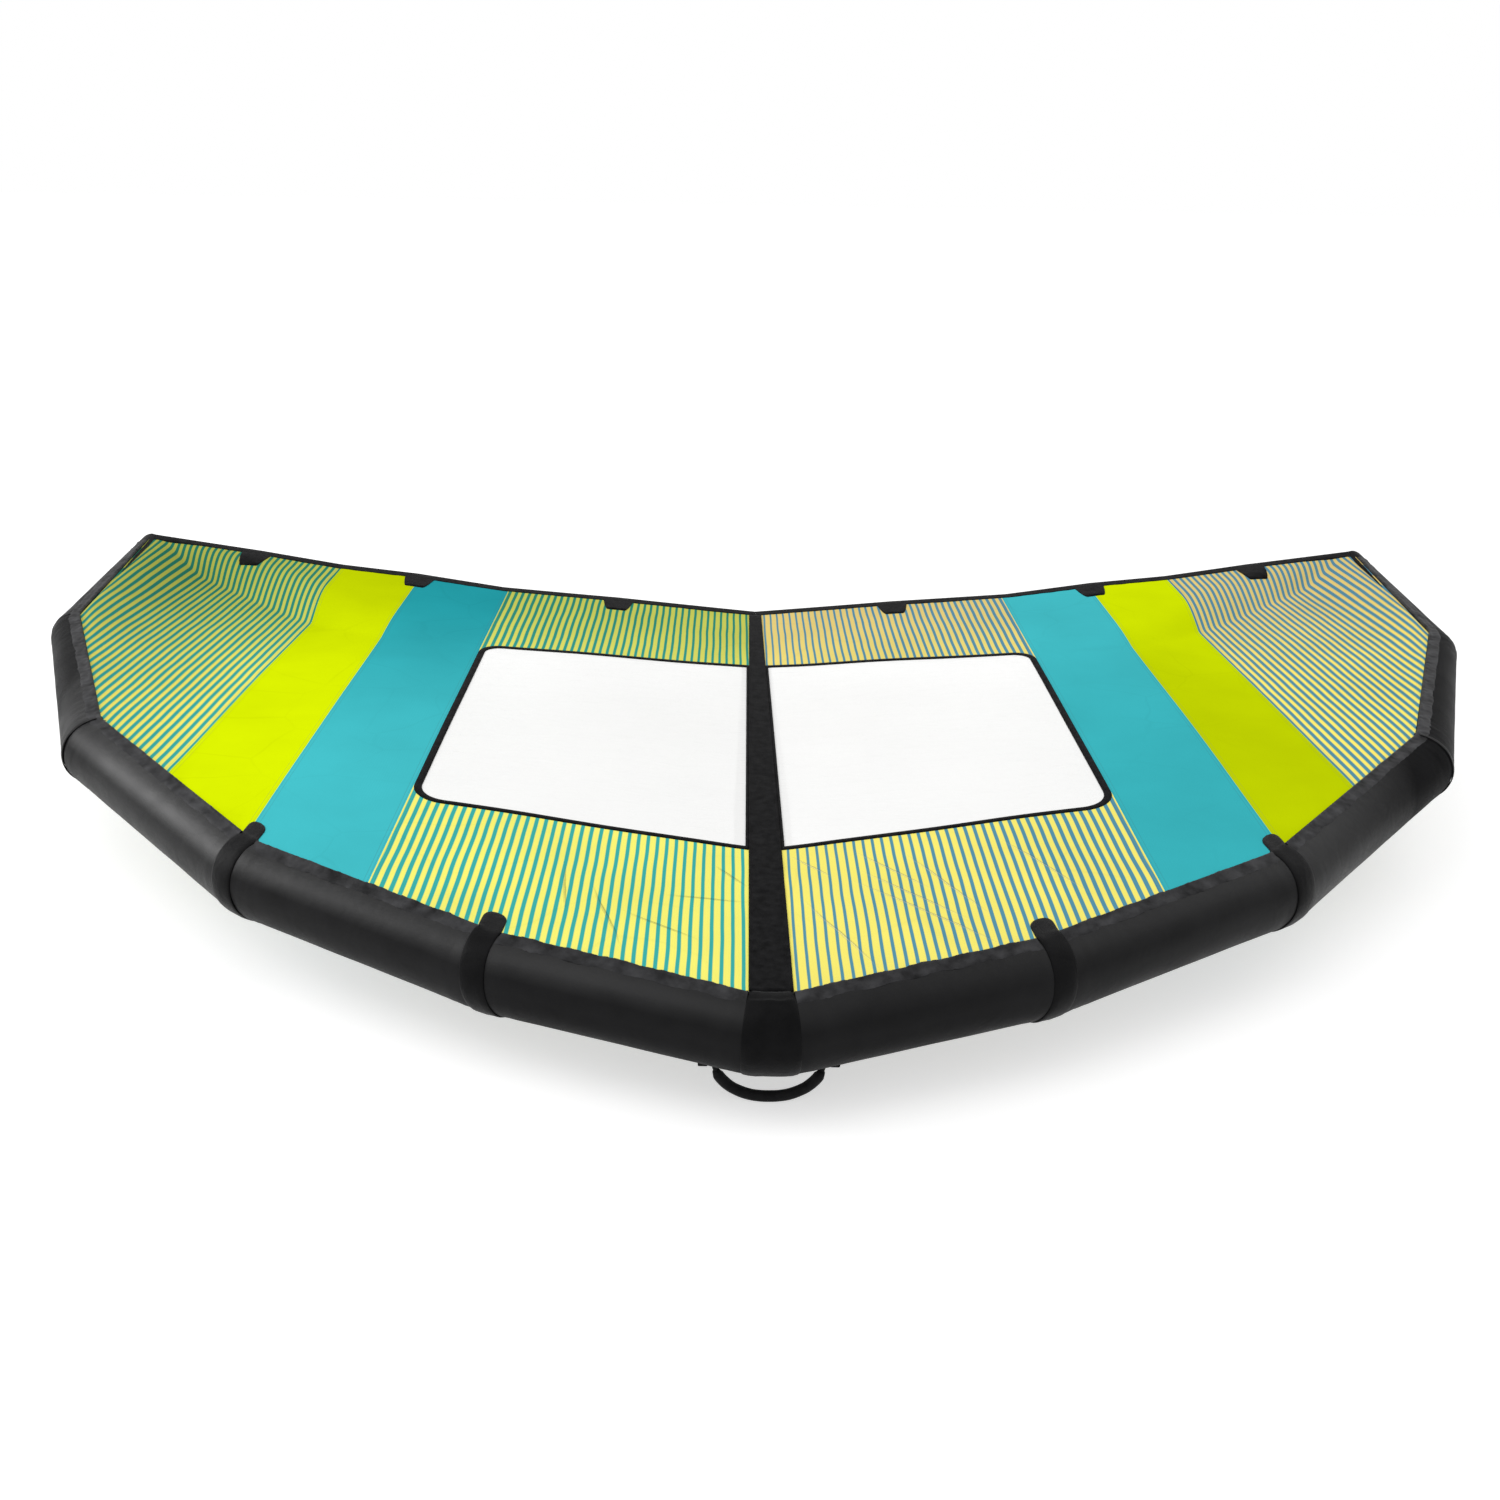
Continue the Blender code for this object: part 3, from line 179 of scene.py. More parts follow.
LAMPS_LOOK_AT = Vector((0.0, 0.8, 0.0))
LAMPS = (("lamp_left", (-1.4, -0.9, 3.8), 22.0, 2.4), ("lamp_right", (3.2, 1.0, 3.4), 26.0, 3.0),
         ("lamp_far", (-6.4, 1.4, 3.1), 170.0, 3.4))
for lamp_name, lamp_at, lamp_watts, lamp_size in LAMPS:
    lamp_data = bpy.data.lights.new(lamp_name, "AREA")
    lamp_data.energy = lamp_watts
    lamp_data.size = lamp_size
    lamp = add_object(lamp_name, lamp_data)
    lamp.rotation_euler = (Vector(lamp_at) - LAMPS_LOOK_AT).to_track_quat("Z", "Y").to_euler()
    lamp.location = lamp_at

# Leading edge tube: straight conical lengths of heavy black polyester cloth, sewn end to end at five
# kinks a side and blown up hard from inside. The last length a side runs out to the closed tip.
HALF_SPAN = 1.646
CHORD = 1.978
TIP_SWEEP = 1.0485 * CHORD
TIP_RISE = 0.1726
TUBE_RADIUS = 0.071
SEAM_LIFT = 0.0018
STATION_SHARES = np.array(((0.0180, 0.0, 0.0), (0.2635, 0.0689, 0.1216), (0.5401, 0.1953, 0.3011),
                           (0.8091, 0.4150, 0.5625), (0.9698, 0.6856, 0.8208), (1.0, 1.0, 1.0)))
RADIUS_SHARES = np.array((0.915, 0.965, 1.0, 0.972, 0.74, 0.38))
SEAM_TURNS = np.array((0.0, 0.0, 0.0, 10.0, 18.0, 19.0)) / 360.0
TIP_CAP_LENGTH = 0.028
TIP_CAP = ((0.25, 0.96), (0.5, 0.84), (0.75, 0.62), (0.92, 0.34), (1.0, 0.02))
TUBE_CLOTH = 0.001
TUBE_TURNS = 96
TUBE_STEP = 0.0075
KINK_ROUND = 0.024
KINK_WEIGHTS = ((-1.0, 1.0), (-0.5, 2.0), (0.0, 3.0), (0.5, 2.0), (1.0, 1.0))
WRINKLE_HEIGHT = 0.0005
KINK_PUCKER = 0.0011
KINK_PUCKER_REACH = 0.07
SEAM_PUCKER = 0.0009

radii = TUBE_RADIUS * RADIUS_SHARES
axis = STATION_SHARES * (HALF_SPAN, TIP_SWEEP, TIP_RISE)
axis[:, 2] -= radii + SEAM_LIFT
legs = np.diff(axis, axis=0)
lengths = np.linalg.norm(legs, axis=1)
legs = legs / lengths[:, None]


def unit(v):
    """The vector at length one."""
    return v / np.linalg.norm(v)


def joined(*columns):
    """One row of numbers for each point, from a column or a number for each place in the row."""
    return np.stack(np.broadcast_arrays(*columns), axis=-1)


def full_turn(parts):
    """The angles of a full turn, both ends included."""
    return 2.0 * math.pi * np.arange(parts + 1) / parts


def run_along(points):
    """How far along a line each of its points lies."""
    return np.concatenate(((0.0,), np.cumsum(np.linalg.norm(np.diff(points, axis=0), axis=1))))


tangents = [unit(legs[0] + (1.0, 0.0, 0.0))] + [unit(a + b) for a, b in zip(legs, legs[1:])] + [legs[-1]]
overs = [unit(np.array((0.0, 0.0, 1.0)) - t * t[2]) for t in tangents]
inwards = [np.cross(over, t) for over, t in zip(overs, tangents)]
stretches = [1.0 / np.dot(t, legs[min(i, len(legs) - 1)]) for i, t in enumerate(tangents)]
kinks = np.concatenate(((0.0,), axis[0, 0] + np.concatenate(((0.0,), np.cumsum(lengths)))))
tube_end = kinks[-1]


def tube_ring(kink, turns, lift):
    """Points round the tube at a kink; turns count from the top towards the rear."""
    if kink == 0:
        return tube_ring(1, turns, lift) * (0.0, 1.0, 1.0)
    i = kink - 1
    around = 2.0 * math.pi * turns
    across = np.outer(np.cos(around), overs[i]) + np.outer(np.sin(around), inwards[i]) * stretches[i]
    return axis[i] + (radii[i] + lift)[:, None] * across


def tube_row(along, turns, lift):
    """Points round the tube at a distance along it from the middle; the kinks are eased round."""
    turns = np.broadcast_to(np.asarray(turns, float), np.shape(turns) or (1,))
    lift = np.broadcast_to(np.asarray(lift, float), turns.shape)
    spread = min(KINK_ROUND, max(tube_end - abs(along), 0.0))
    row = 0.0
    for shift, weight in KINK_WEIGHTS:
        at = along + shift * spread
        k = min(int(np.searchsorted(kinks, abs(at), side="right")) - 1, len(kinks) - 2)
        f = (abs(at) - kinks[k]) / (kinks[k + 1] - kinks[k])
        ring = tube_ring(k, turns, lift) * (1.0 - f) + tube_ring(k + 1, turns, lift) * f
        row = row + ring * (math.copysign(1.0, at), 1.0, 1.0) * weight / 9.0
    return row


def tube_middle(along):
    """The point on the tube's axis at a distance along it."""
    return 0.5 * (tube_row(along, [0.25], 0.0)[0] + tube_row(along, [0.75], 0.0)[0])


def seam_turn(along):
    """Where round the tube the canopy is sewn on."""
    return float(np.interp(abs(along), kinks, np.concatenate(((0.0,), SEAM_TURNS))))


def ripple(u, v, seed):
    """Smooth uneven waves between about minus one and one."""
    total = 0.0
    for n in range(5):
        lean = seed * 1.7 + n * 2.4
        pace = 1.0 + 0.37 * n
        total = total + np.sin(pace * (u * math.cos(lean) + v * math.sin(lean)) + seed * 3.1 + n * 1.3)
    return total / 3.2


def tube_swell(along, turns):
    """Outward height of the soft wrinkles in the tube's cloth."""
    nearest = np.min(np.abs(kinks[1:-1] - abs(along)))
    pucker = KINK_PUCKER * math.exp(-(nearest / KINK_PUCKER_REACH) ** 2)
    at_seam = np.exp(-(((turns + 0.5 - seam_turn(along)) % 1.0 - 0.5 + 0.035) / 0.05) ** 2)
    wide = 0.5 + 0.5 * ripple(along * 26.0, turns * 9.0, 3)
    fine = 0.5 + 0.5 * ripple(along * 130.0, turns * 16.0, 7)
    return WRINKLE_HEIGHT * wide + (pucker + SEAM_PUCKER * at_seam) * fine


def sew(name, rows, flat, inside, finish, wrap=False):
    """A cloth piece from rows of points; flat is each point's place on the cloth before sewing."""
    rows = np.asarray(rows, float)
    flat = np.asarray(flat, float)
    count, cols = rows.shape[:2]
    i = np.arange(count - 1)[:, None]
    j = np.arange(cols if wrap else cols - 1)[None, :]
    low = i * cols + j
    low_next = i * cols + (j + 1) % cols
    faces = np.stack((low, low_next, low_next + cols, low + cols), axis=-1).reshape(-1, 4)
    wide = flat.shape[1]
    near = i * wide + j
    marks = np.stack((near, near + 1, near + 1 + wide, near + wide), axis=-1).reshape(-1, 4)
    points = rows.reshape(-1, 3)
    corner = points[faces]
    facing = np.cross(corner[:, 2] - corner[:, 0], corner[:, 3] - corner[:, 1])
    inside = np.asarray(inside, float)
    if inside.ndim == 2:
        inside = np.repeat(inside[:-1], faces.shape[0] // (count - 1), axis=0)
    if np.sum(facing * (corner.mean(axis=1) - inside)) < 0.0:
        faces = faces[:, ::-1]
        marks = marks[:, ::-1]
    mesh = bpy.data.meshes.new(name)
    mesh.from_pydata(points.tolist(), [], faces.tolist())
    layer = mesh.uv_layers.new(name="cloth")
    layer.data.foreach_set("uv", flat.reshape(-1, 2)[marks.reshape(-1)].astype(np.float32).ravel())
    mesh.shade_smooth()
    mesh.materials.append(finish)
    return add_object(name, mesh)


def fit(piece, body, slot, *nodes):
    """The piece moves with the body and stands for the nodes, which are hidden; the slot is not used."""
    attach(piece, body)
    if nodes:
        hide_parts(*nodes)


def shade(red, green, blue):
    """A colour as it is read off a screen, from 0 to 255."""
    return tuple((c / 255.0 / 12.92) if c < 11 else ((c / 255.0 + 0.055) / 1.055) ** 2.4
                 for c in (red, green, blue)) + (1.0,)


def new_finish(name, colour, roughness, specular):
    """A plain finish to add cloth, grain or stitching to."""
    finish = bpy.data.materials.new(name)
    finish.use_nodes = True
    shader = finish.node_tree.nodes["Principled BSDF"]
    shader.inputs["Base Color"].default_value = colour
    shader.inputs["Roughness"].default_value = roughness
    shader.inputs["Specular IOR Level"].default_value = specular
    return finish, finish.node_tree, shader


def mottle(tree, shader, dark, pale, scale):
    """Uneven colour between two close shades; it gives back the height of the same unevenness."""
    cloud = noise(tree, object_place(tree), scale, 4.0).outputs["Fac"]
    tree.links.new(blend(tree, ranged(tree, cloud, 0.3, 0.7), dark, pale), shader.inputs["Base Color"])
    return cloud


def thread_grid(tree, pitch):
    """Height of threads that cross at a pitch, over the flat cloth."""
    turns = [calc(tree, "MULTIPLY", way, 2.0 * math.pi / pitch) for way in cloth_place(tree)[1:]]
    return largest(tree, *[calc(tree, "COSINE", turn) for turn in turns])


def raise_grain(tree, shader, heights):
    """Bumps one after another; each is a height, its depth in metres and its strength."""
    before = None
    for height, depth, strength in heights:
        bump = step(tree, "Bump", (("Height", height), ("Distance", depth), ("Strength", strength)))
        if before is not None:
            tree.links.new(before, bump.inputs["Normal"])
        before = bump.outputs[0]
    tree.links.new(before, shader.inputs["Normal"])


def grained(name, roughness, specular, colour, dark, pale, scale, grain, weave=None):
    """A finish of uneven colour, given as three screen colours, with fine bumps.

    Its grain is a depth and a strength; its weave is a pitch, a depth and a strength.
    """
    finish, tree, shader = new_finish(name, shade(*colour), roughness, specular)
    heights = [(mottle(tree, shader, shade(*dark), shade(*pale), scale), grain[0], grain[1])]
    if weave:
        heights.append((thread_grid(tree, weave[0]), weave[1], weave[2]))
    raise_grain(tree, shader, heights)
    return finish


tube_cloth, tube_tree, tube_shader = new_finish("black_tube_cloth", shade(20, 20, 21), 0.38, 0.10)
tube_cloud = mottle(tube_tree, tube_shader, shade(15, 15, 16), shade(25, 25, 26), 14.0)
tube_tree.links.new(ranged(tube_tree, tube_cloud, 0.3, 0.7, 0.31, 0.43), tube_shader.inputs["Roughness"])
tube_place = step(tube_tree, "TexCoord").outputs
tube_creases = noise(tube_tree, tube_place["Object"], 34.0, 3.0, 0.6).outputs["Fac"]
tube_facing = step(tube_tree, "SeparateXYZ", ((0, tube_place["Normal"]),)).outputs["Z"]
tube_x = step(tube_tree, "SeparateXYZ", ((0, tube_place["Object"]),)).outputs["X"]
tube_out = calc(tube_tree, "ABSOLUTE", calc(tube_tree, "ADD", tube_x, 0.10))
# Painted highlight and shade in the gloss: the tube reflects more on its top, most of all on the left lengths
# where the lamps' highlight falls, and less underneath and out at the tips, which lie in shade.
painted_highlight_on_top = ranged(tube_tree, tube_facing, 0.42, 0.72, 0.0, 1.8)
painted_highlight_on_left = ranged(tube_tree, tube_x, 0.1, -0.3, 0.3, 1.0)
painted_shade_underneath = ranged(tube_tree, tube_facing, -0.7, 0.1, 0.15, 1.0)
painted_shade_at_tips = ranged(tube_tree, tube_out, 1.12, 1.36, 1.0, 0.06)
painted_gloss_light = calc(tube_tree, "MULTIPLY_ADD", painted_highlight_on_top, painted_highlight_on_left, 1.0)
for part in (painted_shade_underneath, painted_shade_at_tips, 0.10):
    painted_gloss_light = calc(tube_tree, "MULTIPLY", painted_gloss_light, part)
tube_tree.links.new(painted_gloss_light, tube_shader.inputs["Specular IOR Level"])
raise_grain(tube_tree, tube_shader, ((tube_creases, 0.0016, 0.35),
                                     (thread_grid(tube_tree, 0.0011), 0.00006, 0.5)))


def thicken(piece, depth):
    """Give a cloth piece its thickness inside its outer face."""
    change = piece.modifiers.new("thickness", "SOLIDIFY")
    change.thickness = depth
    change.offset = -1.0


def tube_piece(name, start, end, *nodes):
    """One sewn length of the tube between two distances along it."""
    closed = abs(end) > tube_end - 0.001
    stops = np.linspace(start, end, max(6, int(abs(end - start) / TUBE_STEP)) + 1)
    turns = np.arange(TUBE_TURNS) / TUBE_TURNS
    rows = [tube_row(s, turns, tube_swell(s, turns)) for s in stops]
    middles = [tube_middle(s) for s in stops]
    around = full_turn(TUBE_TURNS)
    radius = [np.linalg.norm(row[0] - m) for row, m in zip(rows, middles)]
    flat = [joined(around * r, s) for r, s in zip(radius, stops)]
    length = abs(end - start)
    if closed:
        last = rows[-1]
        centre = middles[-1]
        outward = unit(centre - middles[-2])
        for reach, width in TIP_CAP:
            rows.append(centre + outward * TIP_CAP_LENGTH * reach + (last - centre) * width)
            middles.append(centre - outward * 0.02)
            beyond = end + math.copysign(reach * TIP_CAP_LENGTH, end)
            flat.append(joined(around * radius[-1] * width, beyond))
        length += TIP_CAP_LENGTH
    piece = sew(name, rows, flat, middles, tube_cloth, wrap=True)
    fit(piece, "wing", "tube_cloth", *nodes)
    if closed:
        thicken(piece, TUBE_CLOTH)


tube_piece("leading_edge_middle", -kinks[1], kinks[1], "le_centre")
for side_name, side in SIDES:
    for n in range(1, 5):
        tube_piece("leading_edge_length_%d_%s" % (n, side_name), side * kinks[n], side * kinks[n + 1],
                   "le_segment_%d_%s" % (n, side_name))
    tube_piece("leading_edge_tip_%s" % side_name, side * kinks[5], side * tube_end, "le_tip_%s" % side_name)

# Bladders: airtight inner tubes of clear plastic film, welded shut at both ends, which hold the
# air in the leading edge and in the strut. They lie close inside the black cloth.
BLADDER_INSET = -0.0026
BLADDER_SHORT = 0.05
BLADDER_TURNS = 48
BLADDER_STOPS = 260
BLADDER_ENDS = (0.8, 0.4, 0.02)
BLADDER_ALPHA = 0.8
bladder_film = grained("bladder_film", 0.3, 0.5, (216, 222, 214), (206, 214, 205), (226, 230, 222), 20.0,
                       (0.002, 0.4))
bladder_film.node_tree.nodes["Principled BSDF"].inputs["Alpha"].default_value = BLADDER_ALPHA

stops = np.linspace(-tube_end + BLADDER_SHORT, tube_end - BLADDER_SHORT, BLADDER_STOPS)
turns = np.arange(BLADDER_TURNS) / BLADDER_TURNS
rows = [tube_row(s, turns, BLADDER_INSET) for s in stops]
middles = [tube_middle(s) for s in stops]
first, last = rows[0], rows[-1]
for width in BLADDER_ENDS:
    rows.insert(0, middles[0] + (first - middles[0]) * width)
    rows.append(middles[-1] + (last - middles[-1]) * width)
    middles.insert(0, middles[0])
    middles.append(middles[-1])
flat = [joined(full_turn(BLADDER_TURNS) * TUBE_RADIUS, n * 0.02) for n in range(len(rows))]
bladder = sew("bladder_leading_edge", rows, flat, middles, bladder_film, wrap=True)
fit(bladder, "wing", "bladder_film", "le_bladder")

# Canopy cloth, broad teal band: light ripstop, one panel a side between the striped cloth and the
# yellow-green band. All canopy panels share one sagging surface between the tube and the rear tape.
EDGE_X = HALF_SPAN * np.array((0.0, 0.2236, 0.4101, 0.5529, 0.6762, 0.8153, 0.9945))
EDGE_Y = CHORD * np.array((1.0, 1.0015, 0.9919, 1.0111, 1.0126, 1.0329, 1.048))
EDGE_LIFT = 0.002
EDGE_RISE = 0.9774 * TIP_RISE
EDGE_STRAIGHT = 0.8636
CAMBER_SHARE = 0.004
CAMBER_PEAK = 0.30
TEAL_X = HALF_SPAN * 0.4010
LIME_X = HALF_SPAN * 0.5468
TIP_PANEL_X = HALF_SPAN * 0.6744
TIP_END_X = HALF_SPAN * 0.9915
STRIP_FRONT_HALF = 0.034
STRIP_REAR_HALF = 0.016
HEM_DEPTH = 0.034
PATCH_X = HALF_SPAN * np.array((0.2236, 0.5468, 0.8165))
PATCH_LENGTH = 0.112
PATCH_WIDE = 0.078
PATCH_NARROW = 0.044
CLOTH_STEP = 0.010
TAIL_ROWS = 12
CREASE_FRONT = 0.3908
CREASE_SLOPE = 0.6574
CREASE_DEPTH = 0.056
CREASE_RIGHT_SHARE = 0.86
CREASE_WIDTH = 0.17
CREASE_START_X = 0.80
CREASE_START_RUN = 0.40
CREASE_END_SHARE = 0.985
BILLOW_HEIGHT = 0.0012
GATHER_HEIGHT = 0.0007
CUT_MARGIN = 1.01
AREA_MARGIN = 1.005
LEAST_FILL = 0.301
BELOW = (0.0, 0.0, -50.0)

seam_line = np.array([tube_ring(i + 1, SEAM_TURNS[i:i + 1], np.array([SEAM_LIFT]))[0] for i in range(6)])
seam_line = np.vstack((seam_line[0] * (0.0, 1.0, 1.0), seam_line))


def front_y(x):
    """The line where the canopy is sewn to the tube."""
    return np.interp(x, seam_line[:, 0], seam_line[:, 1])


def rear_y(x):
    """The trailing edge."""
    return np.interp(x, EDGE_X, EDGE_Y)


def eased(curve, x):
    """A curve averaged over the cloth next to it."""
    return sum(curve(np.abs(x + shift)) for shift in np.linspace(-0.11, 0.11, 9)) / 9.0


def front_z(x):
    """Height of the seam on the tube."""
    return np.interp(x, seam_line[:, 0], seam_line[:, 2])


def smooth_step(t):
    """From zero to one with soft ends."""
    t = np.clip(t, 0.0, 1.0)
    return t * t * (3.0 - 2.0 * t)


def sail_z(x, y, side):
    """Height of the canopy's upper face, with the sag and ripples of cloth that no wind fills."""
    start = front_y(x)
    chord = np.maximum(rear_y(x) - start, 0.001)
    t = np.clip((y - start) / chord, 0.0, 1.0)
    free = smooth_step(t / 0.14)
    at_front = front_z(x) * (1.0 - free) + (eased(front_z, x) - eased(front_z, x * 0.0)) * free
    out = x / HALF_SPAN
    at_rear = EDGE_LIFT + EDGE_RISE * out * (EDGE_STRAIGHT + (1.0 - EDGE_STRAIGHT) * out)
    ramp = smooth_step((x - STRIP_REAR_HALF) / (0.30 * HALF_SPAN))
    reach = np.where(t < CAMBER_PEAK, CAMBER_PEAK, 1.0 - CAMBER_PEAK)
    height = at_front + (at_rear - at_front) * t
    height = height + CAMBER_SHARE * chord * ramp * (1.0 - ((t - CAMBER_PEAK) / reach) ** 2)
    crease = CHORD * (CREASE_FRONT + CREASE_SLOPE * x / HALF_SPAN)
    depth = CREASE_DEPTH * smooth_step((x - CREASE_START_X) / CREASE_START_RUN)
    depth = depth * smooth_step((HALF_SPAN * CREASE_END_SHARE - x) / CREASE_WIDTH)
    depth = depth * (1.0 if side < 0.0 else CREASE_RIGHT_SHARE)
    wide = np.maximum(np.minimum(CREASE_WIDTH, 0.7 * (rear_y(x) - crease)), 0.02)
    for shift in (-0.010, -0.0033, 0.0033, 0.010):
        before = np.clip((y + shift - start) / np.maximum(crease - start, 0.02), 0.0, 1.0)
        after = np.clip((y + shift - crease) / wide, 0.0, 1.0)
        valley = np.where(y + shift < crease, before, 1.0 - np.sin(0.5 * math.pi * after))
        height = height - 0.25 * depth * valley
    inner = np.minimum(t, 1.0 - t) * chord
    calm = smooth_step(inner / 0.06) * smooth_step((x - 0.02) / 0.12)
    height = height + BILLOW_HEIGHT * calm * ripple(x * 9.0, y * 5.0, 2 + side)
    gather = np.exp(-(inner / 0.05) ** 2) * smooth_step(inner / 0.012)
    return height + GATHER_HEIGHT * gather * ripple(x * 95.0, y * 12.0, 5 + side)


def strip_half(y):
    """Half the width of the black strip over the strut."""
    return STRIP_FRONT_HALF + (STRIP_REAR_HALF - STRIP_FRONT_HALF) * y / CHORD


def hem_y(x):
    """Front edge of the rear tape with its patches."""
    away = np.min(np.abs(np.asarray(x)[..., None] - PATCH_X), axis=-1)
    rise = np.clip((0.5 * PATCH_WIDE - away) / (0.5 * (PATCH_WIDE - PATCH_NARROW)), 0.0, 1.0)
    return rear_y(x) - HEM_DEPTH - (PATCH_LENGTH - HEM_DEPTH) * (1.0 - (1.0 - rise) ** 1.7)


HEM_MARKS = list(EDGE_X[1:-1]) + [c + s * 0.5 * (PATCH_WIDE * f + PATCH_NARROW * (1.0 - f)) for c in PATCH_X
                                  for f in (0.0, 0.2, 0.45, 0.72, 1.0) for s in (-1.0, 1.0)]


def cloth_lines(low, high, marks, pitch=CLOTH_STEP):
    """Lines across the span from low to high, with one on each mark between them."""
    stops = sorted([low, high] + [m for m in marks if low + 0.0004 < m < high - 0.0004])
    lines = [low]
    for a, b in zip(stops, stops[1:]):
        parts = max(1, math.ceil((b - a) / pitch))
        lines += [a + (b - a) * (n + 1) / parts for n in range(parts)]
    return np.array(lines)


def canopy_piece(name, side, lines, front, rear, finish, lift=0.0, along_strip=None, parts=None, tail=False):
    """A canopy piece between two edges, with its width, length and area when cut flat.

    Its inner edge may follow the black strip. With a tail its last rows lie behind an even line that
    passes in front of the rear tape's patches.
    """
    parts = parts or max(2, int(np.max(rear(lines) - front(lines)) / CLOTH_STEP))
    ahead = parts - TAIL_ROWS
    n = np.arange(parts + 1)[:, None]
    share = (lines - lines[0]) / (lines[-1] - lines[0])
    x = np.broadcast_to(lines, (parts + 1, len(lines)))

    def row_y(x):
        """Where along Y the rows cross the lines."""
        start, end = front(x), rear(x)
        if not tail:
            return start + (end - start) * n / parts
        near = np.maximum(rear_y(x) - PATCH_LENGTH - 0.012, start + (end - start) * 0.3)
        far = near + (end - near) * (n - ahead) / TAIL_ROWS
        return np.where(n <= ahead, start + (near - start) * n / ahead, far)

    y = row_y(x)
    if along_strip is not None:
        for _ in range(5):
            x = (strip_half(y) + along_strip) * (1.0 - share) + lines[-1] * share
            y = row_y(x)
    rows = joined(side * x, y, sail_z(x, y, side) + lift)
    piece = sew(name, rows, joined(x, y), BELOW, finish)
    tall = y[1:] - y[:-1]
    across = x[1:] + x[:-1]
    area = float(np.sum(0.5 * (tall[:, 1:] + tall[:, :-1]) * 0.5 * (across[:, 1:] - across[:, :-1])))
    wide = float(x.max() - x.min()) * CUT_MARGIN
    long = float(y.max() - y.min())
    return piece, wide, long, min(max(area * AREA_MARGIN, LEAST_FILL * wide * long), wide * long)


def panel(name, side, lines, front, rear, finish, slot, node, on, **more):
    """A canopy piece in its place on the wing, standing for its node; what it is sewn to is not used."""
    piece, wide, long, area = canopy_piece(name, side, lines, front, rear, finish, **more)
    fit(piece, "wing", slot, node)


STITCH_PITCH = 0.0045
STITCH_SHARE = 0.68
STITCH_HALF = 0.0007
STITCH_ROWS = (0.003, 0.009)


def stitch_rows(tree, seams):
    """One on the two rows of stitches beside each chordwise seam, else zero."""
    across, along = cloth_place(tree)[1:]
    beat = calc(tree, "FRACT", calc(tree, "MULTIPLY", along, 1.0 / STITCH_PITCH))
    drawn = calc(tree, "LESS_THAN", beat, STITCH_SHARE)
    near = [calc(tree, "COMPARE", across, seam + way * shift, STITCH_HALF)
            for seam in seams for shift in STITCH_ROWS for way in (-1.0, 1.0)]
    return calc(tree, "MULTIPLY", largest(tree, *near), drawn)


def painted_light_to_rear(tree, front_colour, rear_colour, start=1.0, end=2.0):
    """A colour that changes towards the trailing edge: painted light and shade, darker towards the rear on
    most panels, lighter on the right side's teal and yellow-green.
    """
    along = cloth_place(tree)[2]
    fade = ranged(tree, along, start, end, interpolation_type="SMOOTHSTEP")
    return blend(tree, fade, front_colour, rear_colour)


PULL_HALF = 0.0034
PULL_BEND = 0.012
PULL_LINES = {-1.0: ((0.19, 0.301, 0.02, 0.286), (0.25, 0.24, 0.10, 0.142), (0.095, 0.425, 0.03, 0.336),
                     (0.30, 0.33, 0.23, 0.10), (0.35, 0.40, 0.33, 0.20)),
              1.0: ((0.13, 0.378, 0.39, 0.092), (0.15, 0.408, 0.34, 0.183), (0.41, 0.505, 0.545, 0.267),
                    (0.035, 0.469, 0.12, 0.366), (0.05, 0.315, 0.175, 0.04), (0.15, 0.481, 0.285, 0.298),
                    (0.235, 0.469, 0.37, 0.198))}
# Painted light on the tight folds: shade on the left side's, a highlight on the right side's.
PULL_SHADE_AND_HIGHLIGHT = {-1.0: shade(120, 128, 110), 1.0: shade(232, 236, 226)}


def pull_lines(tree, side):
    """Height of the thin tight folds that run from the window to the tube, from zero to one."""
    flat = cloth_place(tree)[0]
    bend = noise(tree, flat, 9.0, 2.0).outputs["Color"]
    bent = step(tree, "VectorMath", ((0, bend), (1, (PULL_BEND, PULL_BEND, 0.0)), (2, flat)),
                operation="MULTIPLY_ADD")
    split = step(tree, "SeparateXYZ", ((0, bent.outputs[0]),)).outputs
    folds = []
    for x0, y0, x1, y1 in PULL_LINES[side]:
        length = math.hypot(x1 - x0, y1 - y0)
        way_x, way_y = (x1 - x0) / length, (y1 - y0) / length
        found = []
        for by_x, by_y, share in ((-way_y, way_x, 1.0 / PULL_HALF), (way_x, way_y, 2.0 / length)):
            offset = -share * (by_x * (x0 + x1) + by_y * (y0 + y1)) * 0.5
            offset -= 0.5 * PULL_BEND * share * (by_x + by_y)
            part = calc(tree, "MULTIPLY_ADD", split["X"], by_x * share, offset)
            part = calc(tree, "MULTIPLY_ADD", split["Y"], by_y * share, part)
            found.append(calc(tree, "ABSOLUTE", part))
        ridge = ranged(tree, found[0], 0.0, 1.0, 1.0, 0.0, interpolation_type="SMOOTHSTEP")
        ends = ranged(tree, found[1], 0.1, 1.0, 1.0, 0.0, interpolation_type="SMOOTHSTEP")
        folds.append(calc(tree, "MULTIPLY", ridge, ends))
    return largest(tree, *folds)


